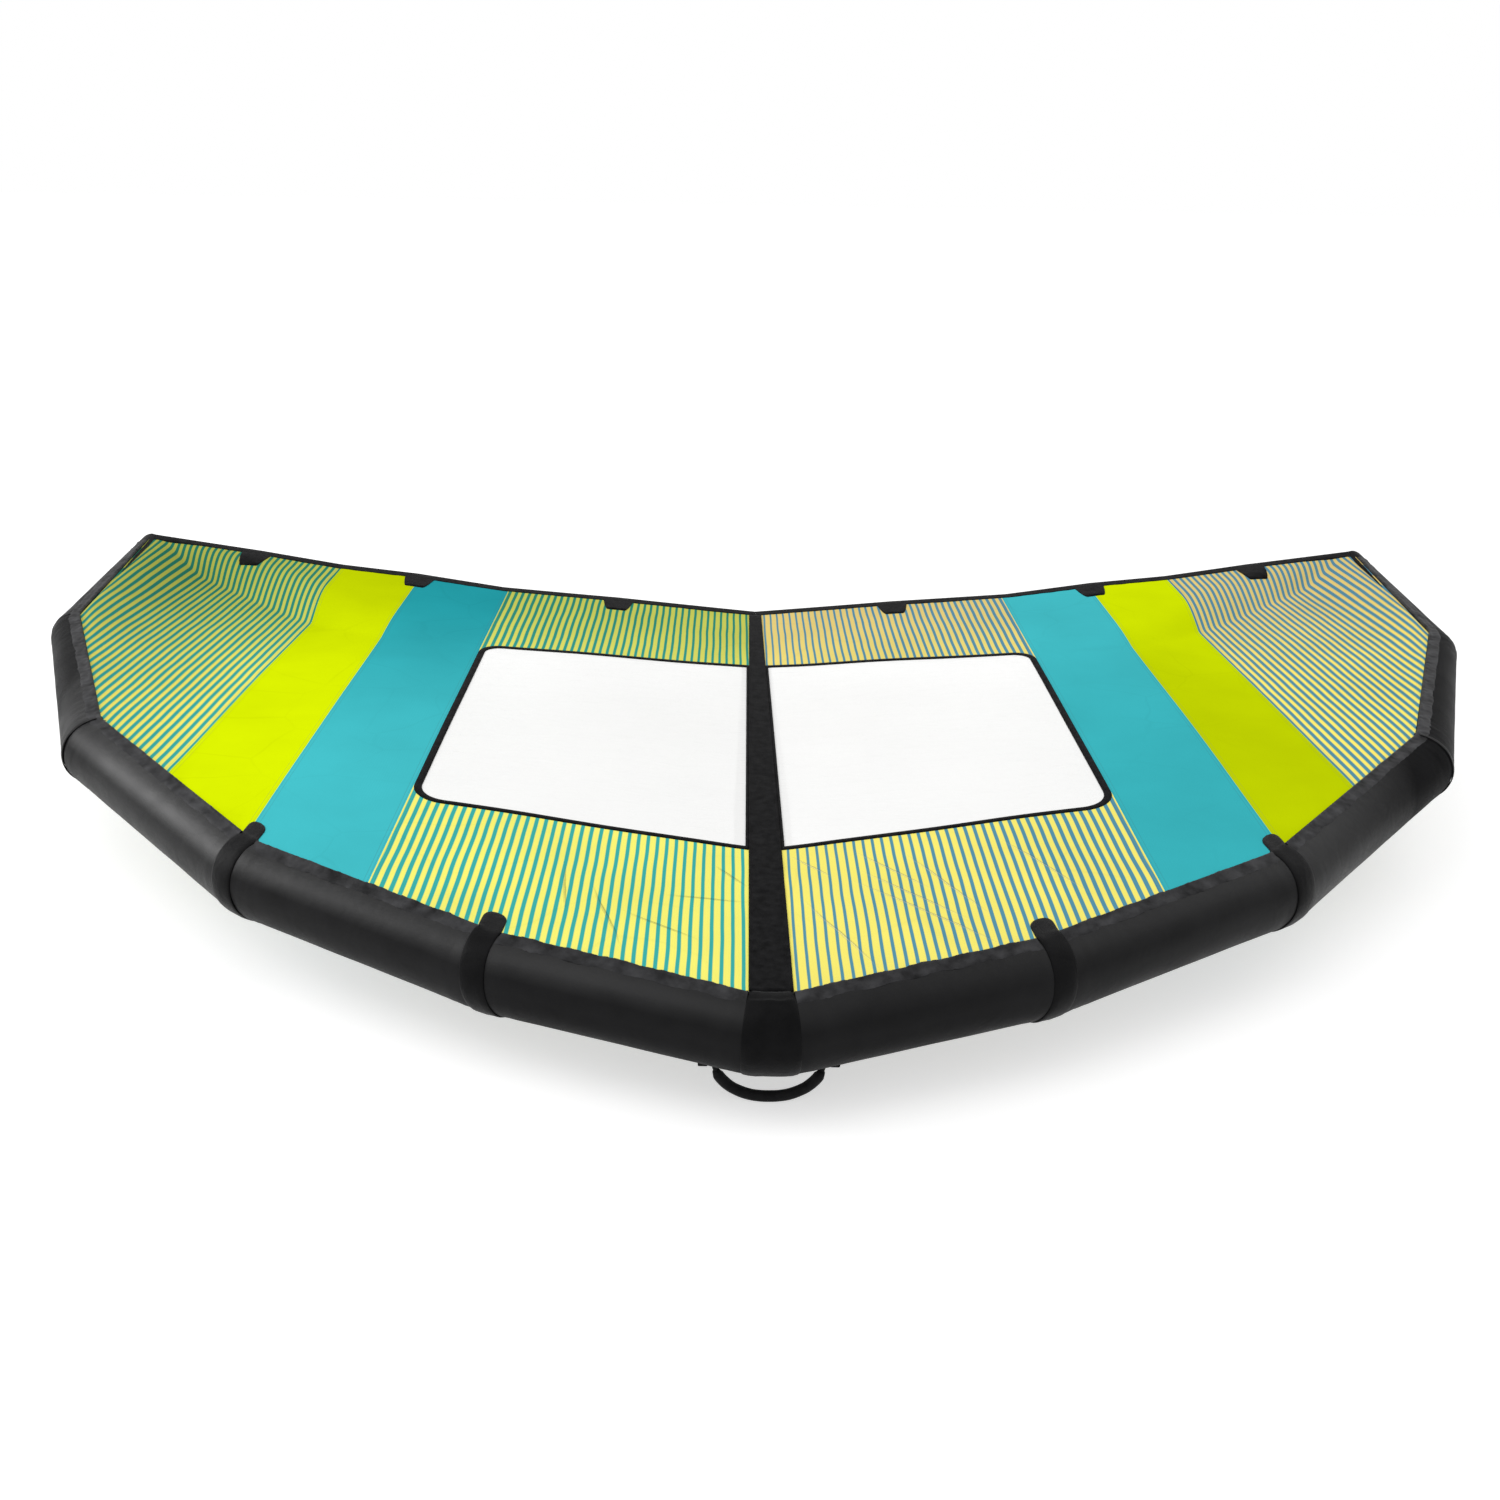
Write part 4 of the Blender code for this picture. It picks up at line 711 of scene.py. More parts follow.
def canopy_finish(name, colour_of, seams, side=None):
    """Light ripstop: faint cloud in the colour, a fine grid of thicker threads, soft creases, and fold lines
    painted in patches as dark hairlines of shade; with a side, its tight folds carry painted shade on the
    left and a painted highlight on the right.
    """
    finish, tree, shader = new_finish(name, (0.5, 0.5, 0.5, 1.0), 0.6, 0.0)
    where = object_place(tree)
    cloud = noise(tree, where, 5.0, 5.0).outputs["Fac"]
    level = grey(tree, ranged(tree, cloud, 0.3, 0.7, 0.95, 1.04))
    colour = blend(tree, 1.0, colour_of(tree), level, "MULTIPLY")
    thread = calc(tree, "MULTIPLY", stitch_rows(tree, seams), 0.3)
    colour = blend(tree, thread, colour, shade(70, 86, 80))
    # Fold lines, in patches: painted shade as thin dark lines in the colour.
    bent = blend(tree, 0.14, where, noise(tree, where, 3.0, 2.0).outputs["Color"])
    cells = step(tree, "TexVoronoi", (("Vector", bent), ("Scale", 6.5)), feature="DISTANCE_TO_EDGE")
    painted_crease_shade = ranged(tree, cells.outputs["Distance"], 0.004, 0.024, 0.96, 1.0)
    patchy = ranged(tree, noise(tree, where, 4.0, 1.0).outputs["Fac"], 0.42, 0.62)
    colour = blend(tree, 1.0, colour, blend(tree, patchy, WHITE, painted_crease_shade), "MULTIPLY")
    reliefs = []
    if side is not None:
        pulls = pull_lines(tree, side)
        # The tight folds' painted shade and painted highlight, laid over the colour.
        colour = blend(tree, calc(tree, "MULTIPLY", pulls, 0.26), colour, PULL_SHADE_AND_HIGHLIGHT[side])
        reliefs.append((pulls, 0.0035, 0.8))
    tree.links.new(colour, shader.inputs["Base Color"])
    creases = noise(tree, where, 16.0, 4.0, 0.8).outputs["Fac"]
    reliefs += [(creases, 0.003, 0.18), (thread_grid(tree, 0.005), 0.00012, 0.4)]
    raise_grain(tree, shader, reliefs)
    return finish


# The two sides' teals are one cloth: their different brightness and their change from front to rear are
# painted light and shade.
TEALS = ((shade(70, 194, 203), shade(38, 160, 170)), (shade(60, 182, 191), shade(70, 193, 202)))
for (side_name, side), (front_teal, rear_teal) in zip(SIDES, TEALS):
    teal_cloth = canopy_finish("teal_ripstop_%s" % side_name,
                               lambda tree: painted_light_to_rear(tree, front_teal, rear_teal, 0.7, 1.9),
                               (TEAL_X, LIME_X))
    panel("teal_band_panel_%s" % side_name, side,
          cloth_lines(TEAL_X, LIME_X, [seam_line[3][0]] + HEM_MARKS), front_y, hem_y, teal_cloth,
          "teal_cloth", "teal_band_%s" % side_name,
          ["leading_edge_length_2_%s" % side_name, "leading_edge_length_3_%s" % side_name], tail=True)

# Canopy cloth, yellow-green band: the same light ripstop in a bright colour, one narrower panel a side,
# lapped and stitched to its neighbours with two rows of stitches.
# The two sides' yellow-greens are one cloth: their different brightness and their change from front to rear
# are painted light and shade.
LIMES = ((shade(222, 243, 3), shade(196, 214, 3)), (shade(196, 214, 3), shade(218, 239, 3)))
for (side_name, side), (front_lime, rear_lime) in zip(SIDES, LIMES):
    lime_cloth = canopy_finish("yellow_green_ripstop_%s" % side_name,
                               lambda tree: painted_light_to_rear(tree, front_lime, rear_lime), (LIME_X, TIP_PANEL_X))
    panel("yellow_green_panel_%s" % side_name, side, cloth_lines(LIME_X, TIP_PANEL_X, HEM_MARKS), front_y,
          hem_y, lime_cloth, "lime_cloth", "lime_band_%s" % side_name,
          ["leading_edge_length_3_%s" % side_name], tail=True)

# Canopy cloth, striped panels: ripstop printed with chordwise stripes, pale ones and blue-green ones,
# before and behind each window and out at the tips. The right side's print is warmer than the left's.
STRIPE_PITCH = 0.017
STRIPE_START = 1.9
WINDOW_FRONT = (0.2435, 0.3020)
WINDOW_REAR = (0.7690, 0.7493)
WINDOW_CORNERS = (0.080, 0.055)


def striped(pale, pale_rear, dark, dark_rear, pale_half, tip_shade_level):
    """The stripes' colours, as a function that builds them for a finish; towards the tip a painted shade
    darkens them.
    """
    def build(tree):
        flat, across = cloth_place(tree)[:2]
        sway = ranged(tree, noise(tree, flat, 7.0, 1.0).outputs["Fac"], 0.25, 0.75, -0.06, 0.06)
        count = calc(tree, "MULTIPLY_ADD", across, 1.0 / STRIPE_PITCH, 0.5 - STRIPE_START)
        part = calc(tree, "FRACT", calc(tree, "ADD", count, sway))
        away = calc(tree, "ABSOLUTE", calc(tree, "SUBTRACT", part, 0.5))
        half = ranged(tree, across, 0.0, TEAL_X, pale_half, 0.255)
        edge = ranged(tree, calc(tree, "SUBTRACT", away, half), -0.035, 0.035)
        mix = blend(tree, edge, painted_light_to_rear(tree, pale, pale_rear), painted_light_to_rear(tree, dark, dark_rear))
        # Painted shade: the stripes darken out towards the tip, down to the tip shade level.
        painted_tip_shade = grey(tree, ranged(tree, across, 1.0, 1.45, 1.0, tip_shade_level))
        return blend(tree, 1.0, mix, painted_tip_shade, "MULTIPLY")
    return build


def window_edge(rear):
    """The window's front or rear edge: its start, slope and way inwards, its corner's radius and centre."""
    inner, outer = WINDOW_REAR if rear else WINDOW_FRONT
    slope = CHORD * (outer - inner) / TEAL_X
    sign = -1.0 if rear else 1.0
    corner = WINDOW_CORNERS[1] if rear else WINDOW_CORNERS[0]
    centre_x = TEAL_X - corner
    centre_y = CHORD * inner + slope * centre_x + sign * corner * math.hypot(1.0, slope)
    return CHORD * inner, slope, sign, corner, centre_x, centre_y


def window_y(x, rear, inset):
    """Front or rear edge of the window with its round outer corner, moved inwards by the inset."""
    start_y, slope, sign, corner, centre_x, centre_y = window_edge(rear)
    stretch = math.hypot(1.0, slope)
    radius = corner - inset
    touch = centre_x + sign * radius * slope / stretch
    away = np.clip(np.asarray(x) - centre_x, -radius, radius)
    straight = start_y + slope * x + sign * inset * stretch
    return np.where(x <= touch, straight, centre_y - sign * np.sqrt(radius * radius - away * away))


# The last number of each is the painted shade at the tip, deep on the left and slight on the right.
striped_left = canopy_finish("striped_ripstop_left",
                             striped(shade(255, 248, 120), shade(202, 206, 92), shade(62, 178, 172),
                                     shade(48, 138, 116), 0.33, 0.72), (TEAL_X, TIP_PANEL_X), -1.0)
striped_right = canopy_finish("striped_ripstop_right",
                              striped(shade(255, 242, 118), shade(234, 208, 128), shade(88, 150, 172),
                                      shade(92, 146, 172), 0.365, 0.97), (TEAL_X, TIP_PANEL_X), 1.0)
corner_lines = [TEAL_X - corner * (1.0 - math.sin(0.5 * math.pi * n / 9.0)) for n in range(9)
                for corner in WINDOW_CORNERS]
for (side_name, side), striped_cloth in zip(SIDES, (striped_left, striped_right)):
    tube_names = ["leading_edge_length_%d_%s" % (n, side_name) for n in (1, 2, 4)]
    panel("striped_panel_front_%s" % side_name, side,
          cloth_lines(STRIP_FRONT_HALF, TEAL_X, [seam_line[2][0]] + corner_lines), front_y,
          lambda x: window_y(x, False, 0.0), striped_cloth, "striped_cloth", "striped_front_%s" % side_name,
          tube_names[:2], along_strip=0.0)
    panel("striped_panel_rear_%s" % side_name, side,
          cloth_lines(STRIP_REAR_HALF, TEAL_X, HEM_MARKS + corner_lines), lambda x: window_y(x, True, 0.0),
          hem_y, striped_cloth, "striped_cloth", "striped_rear_%s" % side_name, ["strut_top_strip"],
          along_strip=0.0, tail=True)
    panel("striped_panel_tip_%s" % side_name, side,
          cloth_lines(TIP_PANEL_X, TIP_END_X, [seam_line[4][0], seam_line[5][0]] + HEM_MARKS), front_y,
          hem_y, striped_cloth, "striped_cloth", "striped_tip_%s" % side_name,
          [tube_names[2], "leading_edge_tip_%s" % side_name], tail=True)

# Windows: clear plastic film sewn into the canopy each side of the strut, milky against the light and
# with the faint creases of film that has been folded.
WINDOW_FRAME = 0.015
STRIP_SIDE_SHARE = 0.4
FILM_OVERLAP = 0.002
FILM_LIFT = -0.0008
FILM_STRETCH = (3.0, 9.0, 3.0)
window_film, film_tree, film_shader = new_finish("window_film", shade(254, 254, 253), 0.25, 0.2)
mottle(film_tree, film_shader, shade(251, 251, 250), shade(255, 255, 254), 3.0)
film_shader.inputs["Alpha"].default_value = 0.9
# A faint painted glow in the film's own colour makes it render white, as if light shone through it.
film_shader.inputs["Emission Color"].default_value = shade(254, 254, 253)
film_shader.inputs["Emission Strength"].default_value = 0.035
film_stretch = step(film_tree, "Mapping", (("Vector", object_place(film_tree)), ("Scale", FILM_STRETCH)))
film_creases = noise(film_tree, film_stretch.outputs[0], 5.0, 6.0, 1.2)
film_creases.inputs["Roughness"].default_value = 0.6
raise_grain(film_tree, film_shader, ((film_creases.outputs["Fac"], 0.004, 0.35),))
film_inset = WINDOW_FRAME - FILM_OVERLAP
film_strip_inset = film_inset * STRIP_SIDE_SHARE
for side_name, side in SIDES:
    film_lines = cloth_lines(STRIP_FRONT_HALF + film_strip_inset, TEAL_X - film_inset,
                             [x - film_inset for x in corner_lines])
    panel("window_%s" % side_name, side, film_lines, lambda x: window_y(x, False, film_inset),
          lambda x: window_y(x, True, film_inset), window_film, "window_film", "window_film_%s" % side_name,
          ["window_border_%s" % side_name], lift=FILM_LIFT, along_strip=film_strip_inset)

# Window borders: black tape folded over the edge of the film all round and sewn down, with round
# corners on the outer side. Beside the strut the strut's top strip laps over the tape, so only a
# share of its width shows there.
BORDER_PROFILE = ((0.0, 0.0), (0.0012, 0.0011), (0.0075, 0.0014), (0.0136, 0.0011), (WINDOW_FRAME, 0.0))
TAPE_SHEET = 0.0012
black_tape = grained("black_tape", 0.5, 0.015, (18, 18, 19), (12, 12, 13), (30, 30, 31), 60.0,
                     (0.0008, 0.4), (0.0016, 0.0001, 0.5))


def window_loop(inset):
    """Points round the window at an inset, from the front inner corner outwards."""
    beside_strip = inset * STRIP_SIDE_SHARE
    loop = []
    for rear in (False, True):
        start_y, slope, sign, corner, corner_x, corner_y = window_edge(rear)
        start = math.atan2(-sign, sign * slope)
        radius = corner - inset
        first_x = strip_half(start_y) + beside_strip
        first_x = strip_half(float(window_y(first_x, rear, inset))) + beside_strip
        last_x = corner_x + radius * math.cos(start)
        part = [(x, float(window_y(x, rear, inset))) for x in np.linspace(first_x, last_x, 60)[:-1]]
        part += [(corner_x + radius * math.cos(start * (1.0 - n / 12.0)),
                  corner_y + radius * math.sin(start * (1.0 - n / 12.0))) for n in range(13)]
        if rear:
            part.reverse()
            ends = (loop[-1], part[0])
            loop += [(TEAL_X - inset, y) for y in np.linspace(ends[0][1], ends[1][1], 74)[1:-1]]
        loop += part
    loop += [(strip_half(y) + beside_strip, y) for y in np.linspace(loop[-1][1], loop[0][1], 104)[1:-1]]
    return np.array(loop)


for side_name, side in SIDES:
    rows = []
    flat = []
    for inset, lift in BORDER_PROFILE:
        loop = window_loop(inset)
        x, y = loop.T
        rows.append(joined(side * x, y, sail_z(x, y, side) + lift))
        run = run_along(np.vstack((loop, loop[:1])))
        flat.append(joined(run, inset))
    border = sew("window_border_%s" % side_name, rows, flat, BELOW, black_tape, wrap=True)
    thicken(border, TAPE_SHEET)
    fit(border, "wing", "black_tape", "window_frame_%s" % side_name)

# Rear tape: black tape folded round the trailing edge and sewn through, with three batten patches
# a side that reach forwards onto the canopy.
HEM_LIFT = 0.0010
HEM_LAP = 0.001
HEM_SHEET = 0.0014
HEM_STEP = 0.012
for side_name, side in SIDES:
    hem, wide = canopy_piece("rear_tape_%s" % side_name, side,
                             cloth_lines(0.0, TIP_END_X, HEM_MARKS, HEM_STEP),
                             lambda x: hem_y(x) - HEM_LAP, rear_y, black_tape, lift=HEM_LIFT, parts=6)[:2]
    thicken(hem, HEM_SHEET)
    fit(hem, "wing", "black_tape", "hem_tape_%s" % side_name)

# Strip over the strut: a tapering black band that joins the two halves of the canopy and ties them to
# the strut. Each edge is rolled over a thin cord and stitched.
STRIP_EDGE = np.array((-1.0, -0.985, -0.95, -0.9, -0.86))
STRIP_BEAD = 0.0017
STRIP_START_Y = 0.002
STRIP_LIFT = 0.0012
STRIP_WEAR = 0.0005
strip_end = float(hem_y(0.0))
across = np.concatenate((STRIP_EDGE, np.linspace(-0.8, 0.8, 13), -STRIP_EDGE[::-1]))
bead = STRIP_BEAD * np.exp(-((np.abs(across) - 0.93) / 0.045) ** 2)
rows = []
flat = []
for y in np.linspace(STRIP_START_Y, strip_end, 190):
    x = across * strip_half(y)
    out = np.abs(x)
    wear = STRIP_WEAR * ripple(x * 160.0, y * 40.0, 4)
    level = sail_z(out, y, 1.0) * 0.5 + sail_z(out, y, -1.0) * 0.5
    rows.append(joined(x, np.maximum(y, front_y(out) + STRIP_START_Y), level + STRIP_LIFT + bead + wear))
    flat.append(joined(x, y))
strip = sew("strut_top_strip", rows, flat, BELOW, black_tape)
thicken(strip, TAPE_SHEET)
fit(strip, "wing", "black_tape", "strut_strip")

# Seam piping: the folded edge of the tube's cloth over the stitched canopy seam, in three runs a side
# between the collars. It is drawn in by the thread, so it is gathered, and it is coloured a mottled grey,
# lighter than the tube's black.
piping_cloth = grained("gathered_piping", 0.5, 0.08, (40, 40, 42), (26, 26, 27), (66, 66, 68), 34.0,
                       (0.002, 0.6))
COLLAR_HALVES = (0.022, 0.025)
PIPING_AHEAD = 0.0048
PIPING_STEP = 0.0045
PIPING_LIFT = 0.0003
PIPING_GAP = 0.008
PIPING_START = 0.0062
PIPING_SHORT = 0.1
PIPING_LAP = 0.012
PIPING_PROFILE = np.array(((-0.0034, 0.0002), (-0.0030, 0.0030), (-0.0012, 0.0050), (0.0012, 0.0052),
                           (0.0034, 0.0040), (0.0062, 0.0026), (0.0100, 0.0020), (0.0140, 0.0020),
                           (0.0180, 0.0016), (0.0210, 0.0004)))
inner_collar, outer_collar = COLLAR_HALVES
piping_runs = (("inner", 1, kinks[1] + PIPING_START, kinks[2] - inner_collar + PIPING_LAP),
               ("middle", 2, kinks[2] + inner_collar + PIPING_GAP, kinks[3] - outer_collar + PIPING_LAP),
               ("outer", 3, kinks[3] + outer_collar + PIPING_GAP, tube_end - PIPING_SHORT * lengths[-1]))
ahead, height = PIPING_PROFILE.T
for side_name, side in SIDES:
    for run_name, tube_length, start, end in piping_runs:
        stops = np.arange(start, end, PIPING_STEP)
        rows = []
        for s in stops:
            radius = float(np.interp(s, kinks[1:], radii))
            pull = (0.16 * ripple(s * 330.0, ahead * 160.0, 3 + side)
                    + 0.24 * ripple(s * 60.0, ahead * 210.0, 6))
            turns = seam_turn(s) - (PIPING_AHEAD + ahead * (1.0 + 0.3 * pull)) / (2.0 * math.pi * radius)
            rows.append(tube_row(side * s, turns, PIPING_LIFT + height * (1.0 + pull)))
        piping = sew("seam_gathers_%s_%s" % (run_name, side_name), rows, [joined(ahead, s) for s in stops],
                     [tube_middle(side * s) for s in stops], piping_cloth)
        fit(piping, "wing", "seam_piping", "seam_piping_%s_%s" % (run_name, side_name))

# Collars: bands of black cloth sewn round the tube over the kinks. The two inner ones each side end
# in a round tab lapped onto the canopy, the outer one is only a narrow seam band.
collar_cloth, collar_tree, collar_shader = new_finish("collar_cloth", shade(14, 14, 15), 0.4, 0.06)
mottle(collar_tree, collar_shader, shade(9, 9, 10), shade(19, 19, 20), 30.0)
collar_creases = noise(collar_tree, object_place(collar_tree), 45.0, 3.0, 0.8).outputs["Fac"]
raise_grain(collar_tree, collar_shader, ((collar_creases, 0.002, 0.45),
                                         (thread_grid(collar_tree, 0.0012), 0.00008, 0.5)))
TAB_LENGTH = 0.050
TAB_HALF_WIDTH = 0.022
TAB_WAY = (-0.10, 0.995)
COLLAR_SLIP = 0.012
COLLAR_SHEET = 0.0012
COLLAR_LIFT = 0.0006
COLLAR_EDGE = 0.0003
COLLAR_ROUND = 0.0014
COLLAR_WRINKLE = 0.0008
COLLAR_LAP = 0.0010
SEAM_BAND_HALF = 0.006
BAND_END_TURN = 29.0 / 32.0


def collar(name, side, kink, half, tab, node):
    """A band round the tube at a kink, with a tab behind the seam if asked for."""
    middle = kinks[kink]
    slip = COLLAR_SLIP if tab else 0.0
    seam = seam_turn(middle)
    shares = np.array((-1.0, -0.97, -0.85, -0.5, 0.0, 0.5, 0.85, 0.97, 1.0))
    edge_lift = COLLAR_EDGE + COLLAR_ROUND * (1.0 - np.abs(shares) ** 14)
    columns = []
    turns = np.linspace(-BAND_END_TURN, seam, 100)
    lap = COLLAR_LAP * smooth_step((turns + 0.06 - seam) / 0.05)
    at_seam = tube_row(side * (middle + slip), [seam], SEAM_LIFT)[0]
    across = unit(tangents[kink - 1] * (side, 1.0, 0.0))
    reach = np.linspace(0.08, 1.0, 14)
    width = np.sqrt(np.clip(1.0 - (np.clip(reach - 0.5, 0.0, 1.0) / 0.5) ** 2.6, 0.0, 1.0))
    for share, lift in zip(shares, edge_lift):
        s = middle + share * half
        rise = COLLAR_WRINKLE * (0.5 + 0.5 * ripple(s * 130.0, turns * 30.0, 8 + side))
        swell = np.maximum(tube_swell(s, turns), COLLAR_LIFT)
        column = np.vstack([tube_row(side * (s + slip * math.cos(2.0 * math.pi * turn)), [turn], [high])
                            for turn, high in zip(turns, lift + rise + swell + lap)])
        if tab:
            out = share * TAB_HALF_WIDTH * width
            x = at_seam[0] + side * TAB_WAY[0] * TAB_LENGTH * reach + across[0] * out
            y = at_seam[1] + TAB_WAY[1] * TAB_LENGTH * reach + across[1] * out
            y = np.maximum(y, front_y(np.abs(x)) - 0.003)
            edge = COLLAR_ROUND * (1.0 - abs(share) ** 14) * (1.0 - reach ** 20)
            column = np.vstack((column, joined(x, y, sail_z(np.abs(x), y, side) + COLLAR_LIFT + edge)))
        columns.append(column)
    run = np.linspace(0.0, 1.0, len(columns[0])) * 0.5
    piece = sew(name, columns, joined(shares[:, None] * half, run[None, :]),
                [tube_middle(side * (middle + share * half)) for share in shares], collar_cloth)
    thicken(piece, COLLAR_SHEET)
    fit(piece, "wing", "collar_cloth", node)


for side_name, side in SIDES:
    collar("collar_inner_%s" % side_name, side, 2, COLLAR_HALVES[0], True, "collar_1_%s" % side_name)
    collar("collar_outer_%s" % side_name, side, 3, COLLAR_HALVES[1], True, "collar_2_%s" % side_name)
    collar("seam_band_round_%s" % side_name, side, 4, SEAM_BAND_HALF, False, "seam_band_%s" % side_name)

# Cuff: a wide band of the collar cloth round the front of the tube where the strut meets it. It carries
# the pull of the strip and lies under the strip's front end.
CUFF_HALF = kinks[1] + 0.006
shares = np.array((-1.0, -0.98, -0.92, -0.75, -0.5, -0.25, 0.0, 0.25, 0.5, 0.75, 0.92, 0.98, 1.0))
CUFF_TURN = 18.0 / 32.0
CUFF_LIFT = 0.0012
CUFF_WRINKLE = 0.0009
CUFF_ROUND = 0.0016
CUFF_FOLD = 0.0022
turns = np.linspace(-CUFF_TURN, 0.0, 90)
rows = []
for share in shares:
    s = share * CUFF_HALF
    fold = CUFF_FOLD * np.exp(-((turns + 0.052 - 0.006 * ripple(share * 3.0, 0.0, 9)) / 0.007) ** 2)
    rise = (CUFF_WRINKLE * (0.5 + 0.5 * ripple(s * 120.0, turns * 34.0, 11))
            + CUFF_ROUND * (1.0 - abs(share) ** 12))
    rows.append(tube_row(s, turns, CUFF_LIFT + rise + fold * (1.0 - abs(share) ** 6)))
flat = joined(shares[:, None] * CUFF_HALF, -turns[None, :] * 2.0 * math.pi * radii[0])
cuff = sew("strut_cuff", rows, flat, [tube_middle(share * CUFF_HALF) for share in shares], collar_cloth)
thicken(cuff, COLLAR_SHEET)
fit(cuff, "wing", "collar_cloth", "le_cuff")

# Strut: a tapering tube of the same black cloth under the middle of the canopy, cut at its front end
# to the round of the leading edge, closed at the rear. Its own bladder blows it up.
STRUT_RADIUS = 0.055
STRUT_END_RADIUS = 0.030
STRUT_END_Y = 1.86
STRUT_TAPER_Y = 0.80
STRUT_START_Y = 0.12
STRUT_CAP_LENGTH = 0.035
STRUT_TOP_Z = -0.0024
SADDLE_MARGIN = 0.0018
STRUT_TURNS = 64
STRUT_CAP = ((0.0, 1.0), (0.3, 0.95), (0.6, 0.8), (0.85, 0.52), (1.0, 0.03))
STRUT_STEP = 0.012
SADDLE_CLEAR = 0.0006


def strut_radius(y):
    """The strut's radius along its length."""
    return float(np.interp(y, (STRUT_TAPER_Y, STRUT_END_Y), (STRUT_RADIUS, STRUT_END_RADIUS)))


def strut_row(y, turns, lift, squeeze=1.0):
    """Points round the strut; turns count from the top towards the right."""
    around = 2.0 * math.pi * np.asarray(turns)
    reach = (strut_radius(y) + lift) * squeeze
    centre = STRUT_TOP_Z - strut_radius(y)
    return joined(reach * np.sin(around), y, centre + reach * np.cos(around))


strut_turns = np.arange(STRUT_TURNS) / STRUT_TURNS
around = full_turn(STRUT_TURNS)
start_row = strut_row(STRUT_START_Y, strut_turns, 0.0)
saddle = start_row.copy()
beyond = np.maximum(np.abs(saddle[:, 0]) - axis[0, 0], 0.0)
height = saddle[:, 2] - axis[0, 2]
grip = radii[0] + SADDLE_MARGIN + SADDLE_CLEAR
depth = np.sqrt(np.maximum(grip * grip - height * height, 0.0)) * stretches[0] ** 2
saddle[:, 1] = axis[0, 1] + beyond * legs[0, 1] / legs[0, 0] + depth + SADDLE_MARGIN
rows = [saddle * (1.0 - f) + start_row * f for f in np.linspace(0.0, 0.9, 6)]
places = [STRUT_START_Y] * len(rows)
top = np.exp(-(((strut_turns + 0.5) % 1.0 - 0.5) / 0.09) ** 2)
for y in np.arange(STRUT_START_Y, STRUT_END_Y, STRUT_STEP):
    swell = 0.0004 + 0.0006 * ripple(y * 40.0, strut_turns * 12.0, 12)
    calm = smooth_step((y - STRUT_START_Y) / 0.05)
    rows.append(strut_row(y, strut_turns, swell * calm * (1.0 - top)))
    places.append(y)
for reach, width in STRUT_CAP:
    row = strut_row(STRUT_END_Y, strut_turns, 0.0, width)
    rows.append(row + np.array((0.0, STRUT_CAP_LENGTH * reach, 0.0)))
    places.append(STRUT_END_Y + STRUT_CAP_LENGTH * reach)
middles = [(0.0, min(y, STRUT_END_Y - 0.01), STRUT_TOP_Z - strut_radius(y)) for y in places]
flat = [joined(around * strut_radius(y), y) for y in places]
strut = sew("strut_tube", rows, flat, middles, tube_cloth, wrap=True)
thicken(strut, TUBE_CLOTH)
fit(strut, "wing", "tube_cloth", "strut_shell")

STRUT_BLADDER_TURNS = 36
STRUT_BLADDER_END_Y = STRUT_END_Y - 0.005
STRUT_BLADDER_ENDS = (0.02, 0.6, 0.9)
turns = np.arange(STRUT_BLADDER_TURNS) / STRUT_BLADDER_TURNS
around = full_turn(STRUT_BLADDER_TURNS)
rows = [strut_row(STRUT_START_Y, turns, BLADDER_INSET, w) for w in STRUT_BLADDER_ENDS]
rows += [strut_row(y, turns, BLADDER_INSET) for y in np.linspace(STRUT_START_Y, STRUT_BLADDER_END_Y, 80)]
rows += [strut_row(STRUT_BLADDER_END_Y, turns, BLADDER_INSET, w) for w in STRUT_BLADDER_ENDS[::-1]]
flat = [joined(around * STRUT_RADIUS, n * 0.02) for n in range(len(rows))]
middles = [(0.0, min(max(row[0][1], 0.15), 1.8), -0.05) for row in rows]
bladder = sew("bladder_strut", rows, flat, middles, bladder_film, wrap=True)
fit(bladder, "wing", "bladder_film", "strut_bladder")

# Belly strip: heavy webbing sewn along the strut's underside, which carries the two rear handles. Each
# handle end is held in a folded and stitched block of the same webbing.
BELLY_FRONT_Y = 0.15
BELLY_REAR_Y = 1.66
BELLY_TURN = 1.0 / 24.0
BELLY_SHEET = 0.0023
BELLY_EDGE = 0.0003
BELLY_LIFT = 0.0008
BELLY_WEB = 0.0016
BELLY_STEP = 0.01
STRUT_HANDLE_HALF = 0.190
STRUT_HANDLE_DROP = 0.060
STRUT_HANDLE_YS = (0.60, 1.26)
LUG_LENGTH = 0.016
LUG_WIDTH = 0.014
LUG_HEIGHT = 0.0115
LUG_SUNK = 0.0004
LUG_ROUND = 0.0022
LUG_FACES = ((0, 1, 3, 2), (4, 6, 7, 5), (0, 4, 5, 1), (2, 3, 7, 6), (0, 2, 6, 4), (1, 5, 7, 3))
webbing = grained("black_webbing", 0.62, 0.12, (18, 18, 19), (12, 12, 13), (28, 28, 29), 90.0,
                  (0.0006, 0.4), (0.0022, 0.0003, 0.8))


def lug_block(name, end, along, outward):
    """A folded and stitched block of webbing with round edges."""
    sideways = np.cross(outward, along)
    points = [tuple(end + along * u + sideways * v + outward * w) for u in (LUG_SUNK, LUG_LENGTH)
              for v in (-0.5 * LUG_WIDTH, 0.5 * LUG_WIDTH) for w in (-LUG_SUNK, LUG_HEIGHT)]
    mesh = bpy.data.meshes.new(name)
    mesh.from_pydata(points, [], LUG_FACES)
    mesh.uv_layers.new(name="cloth")
    mesh.materials.append(webbing)
    mesh.shade_smooth()
    block = add_object(name, mesh)
    rounding = block.modifiers.new("round", "BEVEL")
    rounding.width = LUG_ROUND
    rounding.segments = 3
    fit(block, "wing", "webbing")


